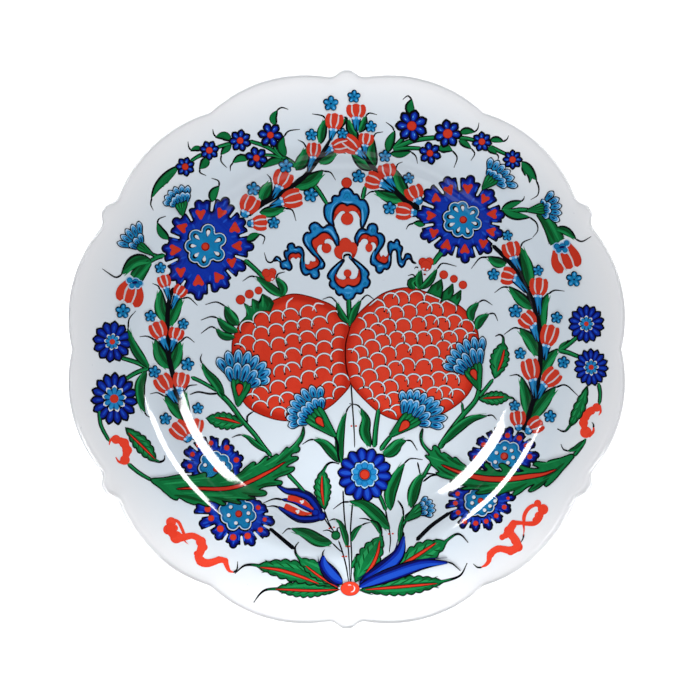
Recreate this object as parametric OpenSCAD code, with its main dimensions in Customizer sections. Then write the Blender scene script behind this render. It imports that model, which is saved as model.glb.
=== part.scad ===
// Hand painted ceramic plate: a shallow dish with a scalloped rim, a deep cavetto and a foot ring.
// The clay body, its two coats of glaze and every painted motif are separate solids.

/* [Plate] */
// Diameter across the widest lobes of the rim
plate_d = 300; // [280:1:320]
// Height of the eating face above the table
floor_z = 13.5; // [12:0.5:16]
// Thickness of the clay, square to its surface
clay_t = 5.5; // [4:0.5:7]
// Steepest slope of the cavetto wall, as rise over run
wall_slope = 1.0; // [0.7:0.05:1.2]
// Slope of the wide flange, as rise over run
flange_slope = 0.14; // [0.05:0.01:0.2]
// Height of the lip above the flange
lip_h = 1.0; // [0.6:0.1:1.4]
// Width of the lip
lip_w = 3.5; // [2.5:0.5:5]

/* [Rim lobes] */
// Radius of each lobe's arc
lobe_r = 74; // [68:1:78]
// Angle from a pointed nose to the middle of the lobe beside it
lobe_angle = 17; // [15:0.5:19]
// Reach of the pointed noses
nose_r = 149.3; // [148:0.1:150]

/* [Foot ring] */
// Outer radius of the foot ring
foot_outer_r = 86; // [80:1:90]
// Thickness of the foot ring
foot_t = 6.5; // [5:0.5:9]
// Height of the bare, unglazed tread
tread_h = 2; // [1:0.5:3]
// Radius of the two hanging holes
hanging_hole_r = 1.5; // [1:0.1:2]
// Height of the hanging holes above the table
hanging_hole_z = 4.5; // [4:0.5:5]
// Angle from the top of the plate to each hanging hole
hanging_hole_angle = 9; // [5:1:20]

/* [Coats] */
// Thickness of the glaze
glaze_t = 0.3; // [0.2:0.05:0.6]
// Thickness of the painted relief
paint_t = 0.15; // [0.1:0.05:0.4]

/* [Hidden] */
$fn = 96;

floor_r = 86;               // the flat floor ends here and the cavetto begins
steep_r = 101;              // the cavetto is steepest here
shoulder_r = 110;           // the cavetto ends here and the flange begins
lobe_reach = plate_d / 2;
lobe_centre = lobe_reach - lobe_r;
sink = 1;                   // how far a cutting solid runs past the surface it cuts

// ---- the dish's section ------------------------------------------------------------------

// Slope of the face at radius r: flat, rising evenly to the steepest line, then easing to the flange
function face_slope(r) =
    r < floor_r ? 0 :
    r < steep_r ? wall_slope * (r - floor_r) / (steep_r - floor_r) :
    r < shoulder_r ? wall_slope + (flange_slope - wall_slope) * (r - steep_r) / (shoulder_r - steep_r) :
    flange_slope;

steep_z = floor_z + wall_slope * (steep_r - floor_r) / 2;
shoulder_z = steep_z + (wall_slope + flange_slope) * (shoulder_r - steep_r) / 2;

// Height of the clay's face at radius r, which is the slope summed from the floor outwards
function face_z(r) =
    r < floor_r ? floor_z :
    r < steep_r ? floor_z + face_slope(r) * (r - floor_r) / 2 :
    r < shoulder_r ? steep_z + (wall_slope + face_slope(r)) * (r - steep_r) / 2 :
    shoulder_z + flange_slope * (r - shoulder_r);

// Height of the clay's underside, a wall's thickness below the face
function back_z(r) = face_z(r) - clay_t * sqrt(1 + pow(face_slope(r), 2));

past_rim_r = lobe_reach + 5;
stations = concat([for (r = [floor_r:2.5:steep_r - 1]) r], [for (r = [steep_r:1.8:shoulder_r]) r], [past_rim_r]);
stations_back = [for (i = [len(stations) - 1:-1:0]) stations[i]];

// Section between the surface `under` the face and the surface `over` it
module skin_section(under, over)
    polygon(concat(
        [for (r = concat([0], stations)) [r, face_z(r) + over]],
        [for (r = concat(stations_back, [0])) [r, face_z(r) + under]]));

// Section of the dish, grown by `coat` all round
module dish_section(coat)
    polygon(concat(
        [for (r = concat([0], stations)) [r, face_z(r) + coat]],
        [for (r = concat(stations_back, [0])) [r, back_z(r) - coat]]));

module foot_section(coat, bottom)
    translate([foot_outer_r - foot_t - coat, bottom])
        square([foot_t + 2 * coat, back_z(0) + sink - bottom]);

// ---- the rim's outline -------------------------------------------------------------------

// Outline with six pointed noses and two round lobes between each pair; `inset` draws it smaller
module rim_outline(inset = 0) {
    circle(r = lobe_reach - 6 - inset);
    for (nose = [30:60:330]) {
        for (side = [-1, 1]) rotate(nose + side * lobe_angle)
            translate([lobe_centre, 0]) circle(r = lobe_r - inset);
        rotate(nose) polygon([
            [nose_r - 12, 12], [nose_r - 4.9 - inset, 9], [nose_r - 3 - inset, 6],
            [nose_r - 0.9 - inset, 3], [nose_r - inset, 0], [nose_r - 0.9 - inset, -3],
            [nose_r - 3 - inset, -6], [nose_r - 4.9 - inset, -9], [nose_r - 12, -12]]);
    }
}

rim_z = face_z(lobe_reach);
lip_z = rim_z + lip_h;

// The dish with its lip, grown by `coat`; the lip follows the scalloped outline
module dish(coat) {
    intersection() {
        rotate_extrude() dish_section(coat);
        linear_extrude(lip_z + sink) rim_outline(glaze_t - coat);
    }
    translate([0, 0, rim_z - 3]) linear_extrude(lip_z - rim_z + 3 + coat) difference() {
        rim_outline(glaze_t - coat);
        rim_outline(lip_w + glaze_t + coat);
    }
}

module hanging_holes()
    for (side = [-1, 1]) rotate(90 + side * hanging_hole_angle)
        translate([foot_outer_r - foot_t - sink - glaze_t, 0, hanging_hole_z]) rotate([0, 90, 0])
            cylinder(r = hanging_hole_r, h = foot_t + 2 * (sink + glaze_t));

// ---- clay and glaze ----------------------------------------------------------------------

module biscuit_body() color([0.86, 0.80, 0.71]) difference() {
    union() {
        dish(0);
        rotate_extrude() foot_section(0, 0);
    }
    hanging_holes();
}

module front_glaze() color([0.87, 0.89, 0.93]) difference() {
    dish(glaze_t);
    dish(0);
    rotate_extrude() polygon(concat(
        [for (r = concat([0], stations)) [r, face_z(r) - clay_t / 2]],
        [[past_rim_r, 0], [0, 0]]));
}

module back_glaze() color([0.85, 0.87, 0.90]) difference() {
    union() {
        dish(glaze_t);
        rotate_extrude() foot_section(glaze_t, tread_h);
    }
    dish(0);
    rotate_extrude() foot_section(0, 0);
    rotate_extrude() polygon(concat(
        [for (r = concat([0], stations)) [r, face_z(r) - clay_t / 2]],
        [[past_rim_r, lip_z + 2 * sink], [0, lip_z + 2 * sink]]));
    hanging_holes();
}

// ---- the painter's strokes ---------------------------------------------------------------

function clamped(p, i) = p[max(0, min(len(p) - 1, i))];

// Point at u on the smooth curve through the points p, where u runs from 0 to len(p) - 1
function on_curve(p, u) =
    let (i = min(floor(u), len(p) - 2), t = u - i,
         a = clamped(p, i - 1), b = p[i], c = p[i + 1], d = clamped(p, i + 2))
    0.5 * (2 * b + t * (c - a) + t * t * (2 * a - 5 * b + 4 * c - d)
        + t * t * t * (3 * b - a - 3 * c + d));

function unit(v) = v / norm(v);
function left_of(v) = [-v[1], v[0]];
function heading(p, u) = unit(on_curve(p, min(u + 0.05, len(p) - 1)) - on_curve(p, max(u - 0.05, 0)));
function beside(p, u, half) = on_curve(p, u) + half * left_of(heading(p, u));

// A leaf or petal along the curve p, w wide and pointed at both ends
module blade(p, w, steps = 7) {
    last = len(p) - 1;
    polygon(concat(
        [p[0]],
        [for (i = [1:steps - 1]) beside(p, last * i / steps, w / 2 * sin(180 * pow(i / steps, 0.8)))],
        [p[last]],
        [for (i = [steps - 1:-1:1]) beside(p, last * i / steps, -w / 2 * sin(180 * pow(i / steps, 0.8)))]));
}

// A stem along the curve p, w wide, narrowing to its far end
module stem(p, w, steps = 8) {
    last = len(p) - 1;
    polygon(concat(
        [for (i = [0:steps]) beside(p, last * i / steps, w / 2 * (1 - 0.6 * i / steps))],
        [for (i = [steps:-1:0]) beside(p, last * i / steps, -w / 2 * (1 - 0.6 * i / steps))]));
}

// A round blot through the points p
module patch(p, per_side = 2) {
    n = len(p);
    looped = concat([p[n - 1]], p, [p[0], p[1]]);
    polygon([for (i = [0:n * per_side - 1]) on_curve(looped, 1 + i / per_side)]);
}

// A flower seen from above, with scalloped petals
module bloom(at, r, petals, depth = 0.18)
    translate(at) polygon([for (i = [0:petals * 4 - 1])
        let (a = i * 90 / petals) r * (1 - depth * pow(abs(sin(petals * a / 2)), 3)) * [cos(a), sin(a)]]);

// A tulip from base to tip, w wide, with three points
module tulip(base, tip, w) {
    along = tip - base;
    across = left_of(unit(along)) * w / 2;
    polygon([
        base - 0.2 * across, base + 0.3 * along - 0.85 * across, base + 0.7 * along - across,
        base + along - 0.95 * across, base + 0.86 * along - 0.45 * across, base + 1.02 * along,
        base + 0.86 * along + 0.45 * across, base + along + 0.95 * across,
        base + 0.7 * along + across, base + 0.3 * along + 0.85 * across, base + 0.2 * across]);
}

// A carnation opening from base along `angle`: a narrow calyx under a fan of petals
module carnation(base, angle, calyx, reach, spread, petals) {
    points = petals * 4;
    translate(base) rotate(angle) polygon(concat(
        [[0, -0.8], [0.8 * calyx, -0.42 * calyx]],
        [for (i = [0:points])
            let (a = spread * (i / points - 0.5),
                 r = reach * (1 - 0.12 * pow(abs(cos(petals * 180 * i / points)), 3)))
            r * [cos(a), sin(a)]],
        [[0.8 * calyx, 0.42 * calyx], [0, 0.8]]));
}

// Paint on the flat floor
module on_floor() translate([0, 0, floor_z + glaze_t]) linear_extrude(paint_t) children();

// Paint that crosses the cavetto or the flange
module on_face() intersection() {
    linear_extrude(lip_z + sink) children();
    rotate_extrude() skin_section(glaze_t, glaze_t + paint_t);
}

// ---- colours of the paint ----------------------------------------------------------------

cobalt = [0.06, 0.14, 0.66];
turquoise = [0.08, 0.48, 0.74];
green = [0.03, 0.42, 0.20];
red = [0.86, 0.20, 0.12];
black = [0.05, 0.05, 0.07];

// ---- pomegranates and cloud collar -------------------------------------------------------

left_fruit = [[-39.5, 25.5], [-27.5, 29], [-11.5, 25], [0, 14.5], [-1, -9], [1.5, -18], [-11, -31], [-34, -37.5],
    [-49, -33], [-57, -22], [-61, 0], [-56, 15]];
right_fruit = [[15.5, 27], [28.5, 32], [42, 30], [60, 23], [69.5, 8.5], [67, -19], [50, -34], [27, -37],
    [10.5, -27.5], [3, -18], [0.8, -9], [2, 14.5]];

module pomegranate_left() color(red) on_floor() patch(left_fruit);
module pomegranate_right() color(red) on_floor() patch(right_fruit);

module pomegranate_crowns() color(green) on_floor() {
    polygon([[-57, 15.5], [-54.3, 24], [-51, 21], [-50, 27], [-46.5, 23.5], [-45, 29.5], [-42, 24.5], [-38.5, 26.5],
        [-39.5, 22], [-48, 20]]);
    polygon([[42.5, 31], [50.5, 37], [50.5, 33], [56.5, 34.5], [56, 30.5], [60.5, 31], [59.5, 24], [51, 27.5]]);
    for (at = [[-56.5, 26.5], [-51.8, 29.7], [-46.9, 31.6], [51.6, 39.8], [57.1, 37.5], [62, 34.3]])
        translate(at) circle(r = 2);
}

module pomegranate_buds() color(red) on_floor() {
    bloom([-41, 39.5], 3.3, 5);
    bloom([42, 45], 3.7, 5);
}

module cloud_collar() color(turquoise) on_floor() {
    patch([[0, 86], [8.5, 81.5], [12.3, 73], [8.2, 64.7], [0, 66.5], [-6.8, 64.7], [-12.3, 73], [-8.5, 81.5]]);
    patch([[-10, 38.7], [-9.4, 32.8], [-4, 28.5], [0.7, 26], [5, 29], [11, 33], [11.4, 40.8], [0.5, 46]]);
    for (side = [0, 1]) mirror([side, 0, 0]) {
        stem([[8, 63.5], [12, 65], [17, 63.5], [20.5, 60], [18, 52.5]], 4.6, 8);
        stem([[15.5, 49.5], [13.5, 45.5], [16, 41.5], [20, 40.5]], 4.2, 6);
        stem([[24, 44], [24, 50], [26, 55.5], [29.5, 55], [31.5, 49.5]], 4.6, 8);
    }
}

module collar_drops() color(red) on_floor() {
    bloom([0, 90], 2.6, 5);
    for (at = [[0, 53.5], [-10.8, 53.8], [11.8, 54.3], [-19, 45], [19.6, 48.2], [-27.5, 49.8]])
        translate(at) circle(r = 2.4);
}

// ---- rosettes ----------------------------------------------------------------------------

module rosette_upper_left() color(cobalt) on_face() ellipse_bloom([-75.2, 54.6], 25, 27.5, 10);
module rosette_upper_right() color(cobalt) on_face() ellipse_bloom([61.5, 68.8], 24.2, 24.2, 11);
module rosette_left_inner() color(cobalt) on_face() difference() {
    ellipse_bloom([-69.4, -63.6], 18.5, 16.5, 10);
    saz_left();
}
module rosette_left_outer() color(cobalt) on_face() difference() {
    ellipse_bloom([-57.4, -87.4], 20.5, 17, 10);
    saz_left();
}
module rosette_right_inner() color(cobalt) on_face() difference() {
    ellipse_bloom([83.4, -56.9], 18.5, 15.5, 10);
    saz_right();
}
module rosette_right_outer() color(cobalt) on_face() difference() {
    ellipse_bloom([71.3, -80.5], 19.5, 17, 10);
    saz_right();
}

// A rosette drawn as an oval, as wide and as high as its two radii say
module ellipse_bloom(at, rx, ry, petals)
    translate(at) polygon([for (i = [0:petals * 6 - 1])
        let (a = i * 60 / petals, k = 1 - 0.16 * pow(abs(sin(petals * a / 2)), 3)) k * [rx * cos(a), ry * sin(a)]]);

// ---- saz leaves --------------------------------------------------------------------------

module saz_left() patch([[-104, -70], [-94.5, -67.5], [-78, -65.5], [-60, -66], [-49, -60], [-37, -55.5],
    [-25, -50.5], [-28, -63], [-42.5, -76], [-58, -81], [-80, -83.2], [-94.5, -77.5]]);
module saz_right() patch([[120.5, -56], [106.5, -59.5], [90, -61], [72, -59.5], [57, -57.5], [44.5, -50],
    [47.5, -65.5], [60, -74.5], [75, -77], [90, -77.8], [105, -72.2], [115, -65.5]]);
module saz_leaf_left() color(green) on_face() saz_left();
module saz_leaf_right() color(green) on_face() saz_right();

// ---- the garland -------------------------------------------------------------------------

module garland_branch_left() color(black) on_face() {
    stem([[-52.5, 71.5], [-35.5, 83.5], [-22, 92], [-14, 102], [-7.5, 112.5]], 2.8, 12);
    stem([[-81, -46.5], [-88.5, -30], [-93.5, -7.5], [-95.3, 9], [-92, 33]], 2.8, 12);
}
module garland_branch_right() color(black) on_face() {
    stem([[36.5, 76.5], [20, 90], [10.8, 101], [5, 116]], 2.8, 12);
    stem([[94.3, -42.2], [101, -21], [103, 0], [99, 24], [89.5, 43], [78, 54.5]], 2.8, 14);
}

// base, tip and width of each tulip
left_tulips = [[[-7.5, 116], [-6.5, 125.5], 10], [[-18, 101.5], [-17.5, 110], 7.6], [[-8.5, 106], [-1.5, 111], 8],
    [[-36, 86], [-32, 94.5], 10], [[-35, 79], [-23.5, 82], 9.5], [[-54, 73.5], [-49.5, 81], 9.5],
    [[-52, 67], [-42.5, 67.5], 8], [[-95.5, 32], [-97.7, 39.5], 8], [[-91, 27.5], [-87, 33.5], 6],
    [[-100.5, 4.5], [-102, 15], 8], [[-93, 2.5], [-90, 11], 7], [[-95.5, -23.5], [-100.5, -14], 8.5],
    [[-89, -21], [-86, -12.5], 7.5], [[-85, -47.5], [-93, -39], 8.5], [[-83, -46.5], [-79.5, -40], 7]];
right_tulips = [[[5, 122.5], [4.8, 130.5], 11], [[9.7, 108], [10.6, 114.5], 8], [[22, 91], [20.7, 98.5], 9],
    [[19, 88.5], [10, 91], 9], [[38, 79], [34.5, 86.5], 9], [[36, 72.5], [26, 74], 9],
    [[88, 47.5], [86, 56.5], 8], [[90, 39.7], [82, 39.7], 10], [[100.7, 28], [102, 38], 8],
    [[99, 12.5], [92.5, 18], 8], [[106, 2], [109.7, 13], 8], [[97.5, -16.5], [95.5, -5.5], 9],
    [[105, -18.5], [112.4, -11], 8.5], [[92.7, -41], [89.5, -33], 8], [[97.5, -42], [104.4, -37.4], 8]];
module garland_tulips_left() color(red) on_face() for (t = left_tulips) tulip(t[0], t[1], t[2]);
module garland_tulips_right() color(red) on_face() for (t = right_tulips) tulip(t[0], t[1], t[2]);

// base, middle, tip and width of each leaf
left_leaves = [[[-15, 108], [-14.5, 115], [-12, 122], 4.5], [[-26, 97], [-25, 103], [-20.5, 108], 4],
    [[-14.5, 99.5], [-10, 103.5], [-5, 105], 4], [[-28, 87.5], [-19, 89.5], [-13, 95], 5],
    [[-45, 83], [-44, 87], [-40.5, 90], 4], [[-45.5, 73], [-38, 75.5], [-31, 74], 4.5],
    [[-97.5, 15], [-100.5, 23], [-100.5, 32], 5], [[-94, 15], [-91.5, 22], [-86.5, 26.5], 5],
    [[-97, -9], [-101, -2], [-105, 5], 5], [[-93, -10], [-92, -3], [-87, 5], 5],
    [[-88.5, -36], [-93.5, -30], [-98.5, -24], 5], [[-86.5, -34], [-85.5, -28], [-82.5, -23.5], 4.5]];
right_leaves = [[[4, 116.5], [2, 119], [-0.5, 123.5], 4.5], [[8, 116.5], [9.5, 119.5], [9.7, 124], 4],
    [[14, 97], [15.5, 105], [13.5, 113], 5], [[12.5, 97.5], [6.5, 99.5], [2.5, 104], 4.5],
    [[31, 82], [28.5, 88], [26.5, 96.5], 5], [[30, 79.5], [22.5, 80.5], [14, 84], 4.5],
    [[96, 34], [93, 44], [94, 56], 6], [[84, 46], [78.5, 48.8], [71.5, 48.3], 4.5],
    [[97.5, 22.5], [92.5, 29], [85, 33], 5], [[104.5, 11.5], [105.5, 21], [108.5, 30], 5],
    [[101, -2], [97, 5], [91, 11.5], 5], [[104, -12], [109, -6.5], [112, -0.5], 4.5],
    [[96, -34], [93.5, -25], [91, -14.5], 5], [[99.5, -36], [105.5, -29], [112.5, -20], 5]];
module garland_leaves_left() color(green) on_face() for (l = left_leaves) blade([l[0], l[1], l[2]], l[3]);
module garland_leaves_right() color(green) on_face() for (l = right_leaves) blade([l[0], l[1], l[2]], l[3]);

star_flowers = [[-8.5, 130.5], [-18.7, 114], [-2.2, 114.6], [-49.6, 85.2], [-19, 81.8], [-32.3, 97.2], [4, 134.4],
    [12.7, 118.5], [20.4, 102.5], [6.3, 91.9], [32.9, 90.8], [22.8, 74.9], [-38.9, 66.9], [-98.9, 43.2],
    [-104.2, 17.5], [-86.7, 13.3], [-102, -12], [-84.4, -8], [-96, -37], [-78.7, -31.3], [-119, 20],
    [85.6, 60.3], [78, 39.7], [101.7, 41.7], [89.7, 20], [111.4, 16.7], [92.5, -2.3], [115.2, -7],
    [89.3, -30], [108, -35.7], [120.8, 37]];
module garland_star_flowers() color(turquoise) on_face() for (at = star_flowers) bloom(at, 3, 5, 0.3);

// ---- sprays of small flowers -------------------------------------------------------------

// centre, radius and petals of each flower
left_spray = [[[-40.6, 114], 6.3, 6], [[-56.7, 111], 5.5, 7], [[-48, 101.6], 5.7, 6], [[-73, 105.7], 4.8, 7],
    [[-86, 97], 4.7, 7]];
right_spray = [[[34.5, 118.7], 8, 7], [[53.6, 114.6], 7, 7], [[44.2, 104.2], 5.6, 6], [[71.8, 110.3], 4.9, 7],
    [[88, 100.8], 4.8, 8]];
module flower_spray_left() color(cobalt) on_face() {
    for (f = left_spray) bloom(f[0], f[1], f[2]);
    blade([[-89.8, 96.5], [-99.5, 89.5], [-104.4, 84], [-103, 74.5]], 4);
    blade([[-32.3, 102], [-35, 110], [-33.4, 114], [-25, 117]], 3);
    blade([[-38.4, 119.8], [-38.5, 124], [-37, 127], [-31.5, 127.5]], 3);
}
module flower_spray_right() color(cobalt) on_face() {
    for (f = right_spray) bloom(f[0], f[1], f[2]);
    blade([[93.3, 99.3], [101, 89.2], [101.8, 84], [98, 79.7]], 4);
    blade([[20.4, 105.7], [22, 111], [25.2, 116.3], [20.9, 120.6]], 3);
    blade([[34.7, 126.5], [35.5, 130], [34.2, 133], [30, 132.8]], 3);
}

// ---- carnations, tulips and flowers ------------------------------------------------------

module carnations_field() color(turquoise) on_floor() {
    carnation([-57.8, -29], 78, 14, 30, 66, 7);
    carnation([-6.8, -45.4], 139, 16, 31, 68, 7);
    carnation([70.3, -22], 123, 15, 31, 66, 7);
    carnation([23, -45.9], 47, 13, 30, 72, 7);
}
module carnations_rim() color(turquoise) on_face() {
    carnation([-87.6, 72], 122, 5, 15, 70, 5);
    carnation([-105, 51.5], 130, 6, 17, 80, 5);
    carnation([73, 86], 42, 6, 16, 90, 5);
    carnation([98, 74], 2, 6, 17, 62, 5);
    carnation([31.5, -90.6], 33, 6, 15, 52, 4);
}
module hanging_tulips() color(red) on_face() {
    tulip([-104.5, 46], [-119.5, 26.5], 9);
    tulip([102.5, 71], [119, 43.5], 9);
}
module rim_flowers() color(cobalt) on_face() {
    bloom([-124.6, 4], 10, 12);
    bloom([-123.6, -26.6], 13, 15);
    bloom([127.3, 13.5], 9.5, 14);
    bloom([129.9, -9.5], 9, 15);
}
module centre_flower() color(cobalt) on_floor() bloom([9.5, -66.5], 14, 14, 0.12);
module blue_tulip() color(cobalt) on_floor() {
    blade([[-13.4, -89.5], [-17, -81.6], [-24, -76.5], [-37.3, -73.3]], 5);
    blade([[-14.5, -89.5], [-22, -83], [-33, -80.5], [-44, -81.3]], 4);
    blade([[-14, -90.5], [-24.9, -90.6], [-31.2, -87.4], [-41.9, -83.4]], 5);
}

// ---- ribbons, stems and leaves of the lower field ----------------------------------------

module red_ribbons() color(red) on_face() {
    stem([[-94, -92], [-90, -98.5], [-84, -99]], 5, 6);
    stem([[-83, -98], [-77, -100.5], [-76.5, -106.5]], 4, 6);
    stem([[-79.5, -110.5], [-75, -114.5], [-67, -112], [-61, -118.8]], 4, 8);
    stem([[100, -82], [105, -87], [99, -93.5], [91, -93]], 4, 10);
    stem([[88, -94.5], [84, -99.5], [90.5, -103]], 4, 6);
    stem([[86.5, -107], [78, -108], [72, -115.8]], 4, 6);
    stem([[-125.5, -50], [-122, -46], [-116, -52], [-117, -60]], 4, 9);
    stem([[134, -34], [129.5, -31], [124.5, -37], [126, -46]], 4, 9);
}
module field_stems() color(green) on_face() {
    stem([[-40, -56], [-53.5, -39.5], [-67.5, -22.5], [-82, -15]], 3.2, 12);
    stem([[49, -52.5], [55.5, -43], [62, -34], [70.5, -21]], 3.4, 12);
    stem([[-31, -66.5], [-26.5, -71.5], [-22, -76]], 2.4, 4);
    stem([[14, -51.5], [14.5, -42], [17, -32]], 2.6, 6);
    stem([[-120, -4.5], [-112, -6], [-105, -10], [-111, -14], [-118.5, -16]], 1.6, 12);
    stem([[122, 6], [112.5, -0.7], [123, -3.5]], 1.6, 10);
}
// points along each leaf, then its width
field_leaf_list = [
    [[[-66, -25], [-74, -17], [-77.5, -4]], 5.5], [[[-54, -40], [-64, -38.5], [-74.5, -36.5]], 9],
    [[[-11.5, -85.5], [-13.5, -75], [-12.5, -64]], 8.5], [[[-2.5, -60], [-4, -46], [0, -33]], 6],
    [[[-4, -60], [-9, -52], [-15.5, -48]], 4], [[[12.4, -52], [11, -42], [7.5, -32]], 5.5],
    [[[19.5, -56], [24, -51], [29, -48.5]], 4.5], [[[22.5, -85], [23, -73], [29.5, -60.5]], 6],
    [[[34, -83.5], [34.5, -74], [38.5, -66]], 5], [[[51, -50], [60, -41], [71.5, -34.8]], 5],
    [[[77, -15.5], [83.5, -8], [83.7, 2]], 9], [[[73, -27], [80, -27], [87, -25.3]], 7.5],
    [[[-8, -103], [-20, -101.5], [-30, -96]], 6], [[[0, -105], [-1.5, -97], [-4, -91.5]], 4.5],
    [[[22.3, -95.5], [15, -87], [5.5, -82]], 6.5], [[[-118, -41], [-108, -47], [-102, -60]], 6.5],
    [[[127.8, -19.5], [126, -31], [118, -41.5]], 6], [[[-60, 6.5], [-63.5, 14], [-64, 22]], 4],
    [[[-61, 4], [-66, 11], [-70, 17]], 4], [[[67, 15], [68.5, 21], [72, 26]], 4],
    [[[69.5, 10.5], [71.5, 15], [76, 19]], 4], [[[-34, 28.5], [-41, 32], [-48, 38.5]], 4.5],
    [[[39.5, 32.5], [44, 38], [49, 45]], 4], [[[-0.5, 15], [-4.5, 19], [-6, 24.5]], 3.5],
    [[[2.5, 15], [6, 19], [8.5, 25]], 3.5]];
module field_leaves() color(green) on_face() for (l = field_leaf_list) blade(l[0], l[1]);

// ---- the bouquet at the foot -------------------------------------------------------------

module bouquet_leaves_left() color(green) on_face() {
    blade([[-4, -128], [-18, -130], [-38, -127.5]], 7);
    blade([[-12, -124.5], [-33, -117], [-57.5, -117]], 9);
    blade([[-7, -122.5], [-18, -116], [-27, -107.5]], 5);
    blade([[-4, -123.5], [-7.5, -115], [-12, -107]], 6);
}
module bouquet_leaves_right() color(green) on_face() {
    blade([[4.5, -122], [12, -113], [18.3, -98]], 10);
    blade([[10, -122.5], [23, -112], [29.7, -97.5]], 7);
    blade([[25, -117.5], [38, -108], [53.3, -102.5]], 9);
    blade([[8, -125.5], [30, -120.5], [54.5, -113.5]], 6);
    blade([[7, -128.8], [30, -129.5], [53, -123.2]], 9);
}
module bouquet_knot() color(red) on_face() bloom([1.8, -127], 2.5, 6, 0.1);

biscuit_body();
front_glaze();
back_glaze();
pomegranate_left();
pomegranate_right();
pomegranate_crowns();
pomegranate_buds();
cloud_collar();
collar_drops();
rosette_upper_left();
rosette_upper_right();
rosette_left_inner();
rosette_left_outer();
rosette_right_inner();
rosette_right_outer();
saz_leaf_left();
saz_leaf_right();
garland_branch_left();
garland_branch_right();
garland_tulips_left();
garland_tulips_right();
garland_leaves_left();
garland_leaves_right();
garland_star_flowers();
flower_spray_left();
flower_spray_right();
carnations_field();
carnations_rim();
hanging_tulips();
rim_flowers();
red_ribbons();
field_stems();
field_leaves();
centre_flower();
blue_tulip();
bouquet_leaves_left();
bouquet_leaves_right();
bouquet_knot();
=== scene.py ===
"""Looks of the hand painted ceramic plate: glazed clay, and every brush stroke as its own raised shape.

Lengths in the painting are millimetres on the plate, from its centre, x to the right and y to the top.
"""

import math

import bpy
import numpy as np
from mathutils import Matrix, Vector
from mathutils.geometry import delaunay_2d_cdt


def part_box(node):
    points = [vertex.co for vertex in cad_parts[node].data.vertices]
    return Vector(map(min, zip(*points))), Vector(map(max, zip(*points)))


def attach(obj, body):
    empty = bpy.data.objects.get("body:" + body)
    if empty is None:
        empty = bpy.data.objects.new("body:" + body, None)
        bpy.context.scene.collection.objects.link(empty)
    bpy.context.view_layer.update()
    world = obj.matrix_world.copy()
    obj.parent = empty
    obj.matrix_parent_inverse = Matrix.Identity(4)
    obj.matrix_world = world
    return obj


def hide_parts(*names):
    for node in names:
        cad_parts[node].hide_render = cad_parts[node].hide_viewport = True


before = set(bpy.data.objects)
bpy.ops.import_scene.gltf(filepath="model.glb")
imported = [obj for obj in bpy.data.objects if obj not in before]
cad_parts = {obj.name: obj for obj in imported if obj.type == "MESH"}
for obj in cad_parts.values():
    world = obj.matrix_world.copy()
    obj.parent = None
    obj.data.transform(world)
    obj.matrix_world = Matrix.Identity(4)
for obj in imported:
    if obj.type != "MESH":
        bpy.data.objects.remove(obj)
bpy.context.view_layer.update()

MM = 0.001
ROOT = "root"
GLAZE_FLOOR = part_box("pomegranate_left")[0].z / MM      # the paint on the flat floor lies on the glaze
RIM_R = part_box("front_glaze")[1].y / MM                 # a pointed nose lies on the y axis


# ---- the dish ----------------------------------------------------------------------------------

# ends of the flat floor and of the cavetto, and how steeply the face climbs from one radius to the next
FLOOR_R = 80.0
SHOULDER_R = 113.0
SLOPE_AT = [FLOOR_R, 94.0, 101.0, 107.0, SHOULDER_R, 150.0]
SLOPE = [0.0, 0.35, 1.0, 0.45, 0.11, 0.17]
LOBE_R = 74.0             # radius of a lobe's arc
LOBE_REACH = 150.0        # from the middle to a lobe's top
LOBE_ANGLE = 17.0         # from a nose to the top of the lobe beside it
NOSE_FOOT_R = 143.3       # the lobes would meet at this radius without the nose
NOSE_SPREAD = 2.15        # degrees from a nose's tip to its flank
CLAY_T = 5.5
GLAZE_T = 0.3
FOOT_OUTER_R = 86.0
FOOT_INNER_R = 79.5
TREAD_H = 2.0
HOLE_R = 1.5
HOLE_Z = 4.5
HOLE_ANGLE = 9.0          # degrees from the plate's top to each hanging hole
BIT_LENGTH = 16.0
LIP_H = 0.15
LIP_IN = 3.0              # the lip's crest is this far inside the outline
LIP_HALF = 1.5
EDGE_ROUND = 2.4          # the edge is rounded over this width
EDGE_DROP = 0.55
HEAVY = 0.1               # mm that every black outline is wider on each side


def face_slope(r):
    """How many millimetres the face climbs in one millimetre outwards."""
    return np.interp(r, SLOPE_AT, SLOPE)


STEP = 0.25
STATIONS = np.arange(0, 156, STEP)
CLIMB = np.concatenate([[0], np.cumsum(face_slope(STATIONS[:-1] + STEP / 2) * STEP)])


def face_height(r):
    """Height of the glazed face at radius r: the slope summed outwards from the floor."""
    return GLAZE_FLOOR + np.interp(r, STATIONS, CLIMB)


def back_height(r):
    """Height of the glazed back, under the face."""
    return face_height(r) - 2 * GLAZE_T - CLAY_T * np.sqrt(1 + face_slope(r) ** 2)


def rim_radius(theta):
    """Radius of the scalloped outline: two round lobes between each pair of rounded noses."""
    off = np.abs(np.degrees(theta) % 60 - 30)
    turn = np.radians(off - LOBE_ANGLE)
    centre = LOBE_REACH - LOBE_R
    lobe = centre * np.cos(turn) + np.sqrt(LOBE_R ** 2 - (centre * np.sin(turn)) ** 2)
    return lobe + (RIM_R - NOSE_FOOT_R) * np.exp(-(off / NOSE_SPREAD) ** 2.4)


def lip_height(d):
    """The raised lip, at distance d inside the edge, and the rounding of the edge itself."""
    lip = LIP_H * np.exp(-((d - LIP_IN) / LIP_HALF) ** 2)
    return lip - EDGE_DROP * np.clip(1 - d / EDGE_ROUND, 0, 1) ** 2


def smooth(t):
    """A soft change from 0 to 1."""
    t = np.clip(t, 0, 1)
    return t * t * (3 - 2 * t)


# ---- materials ---------------------------------------------------------------------------------

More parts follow.
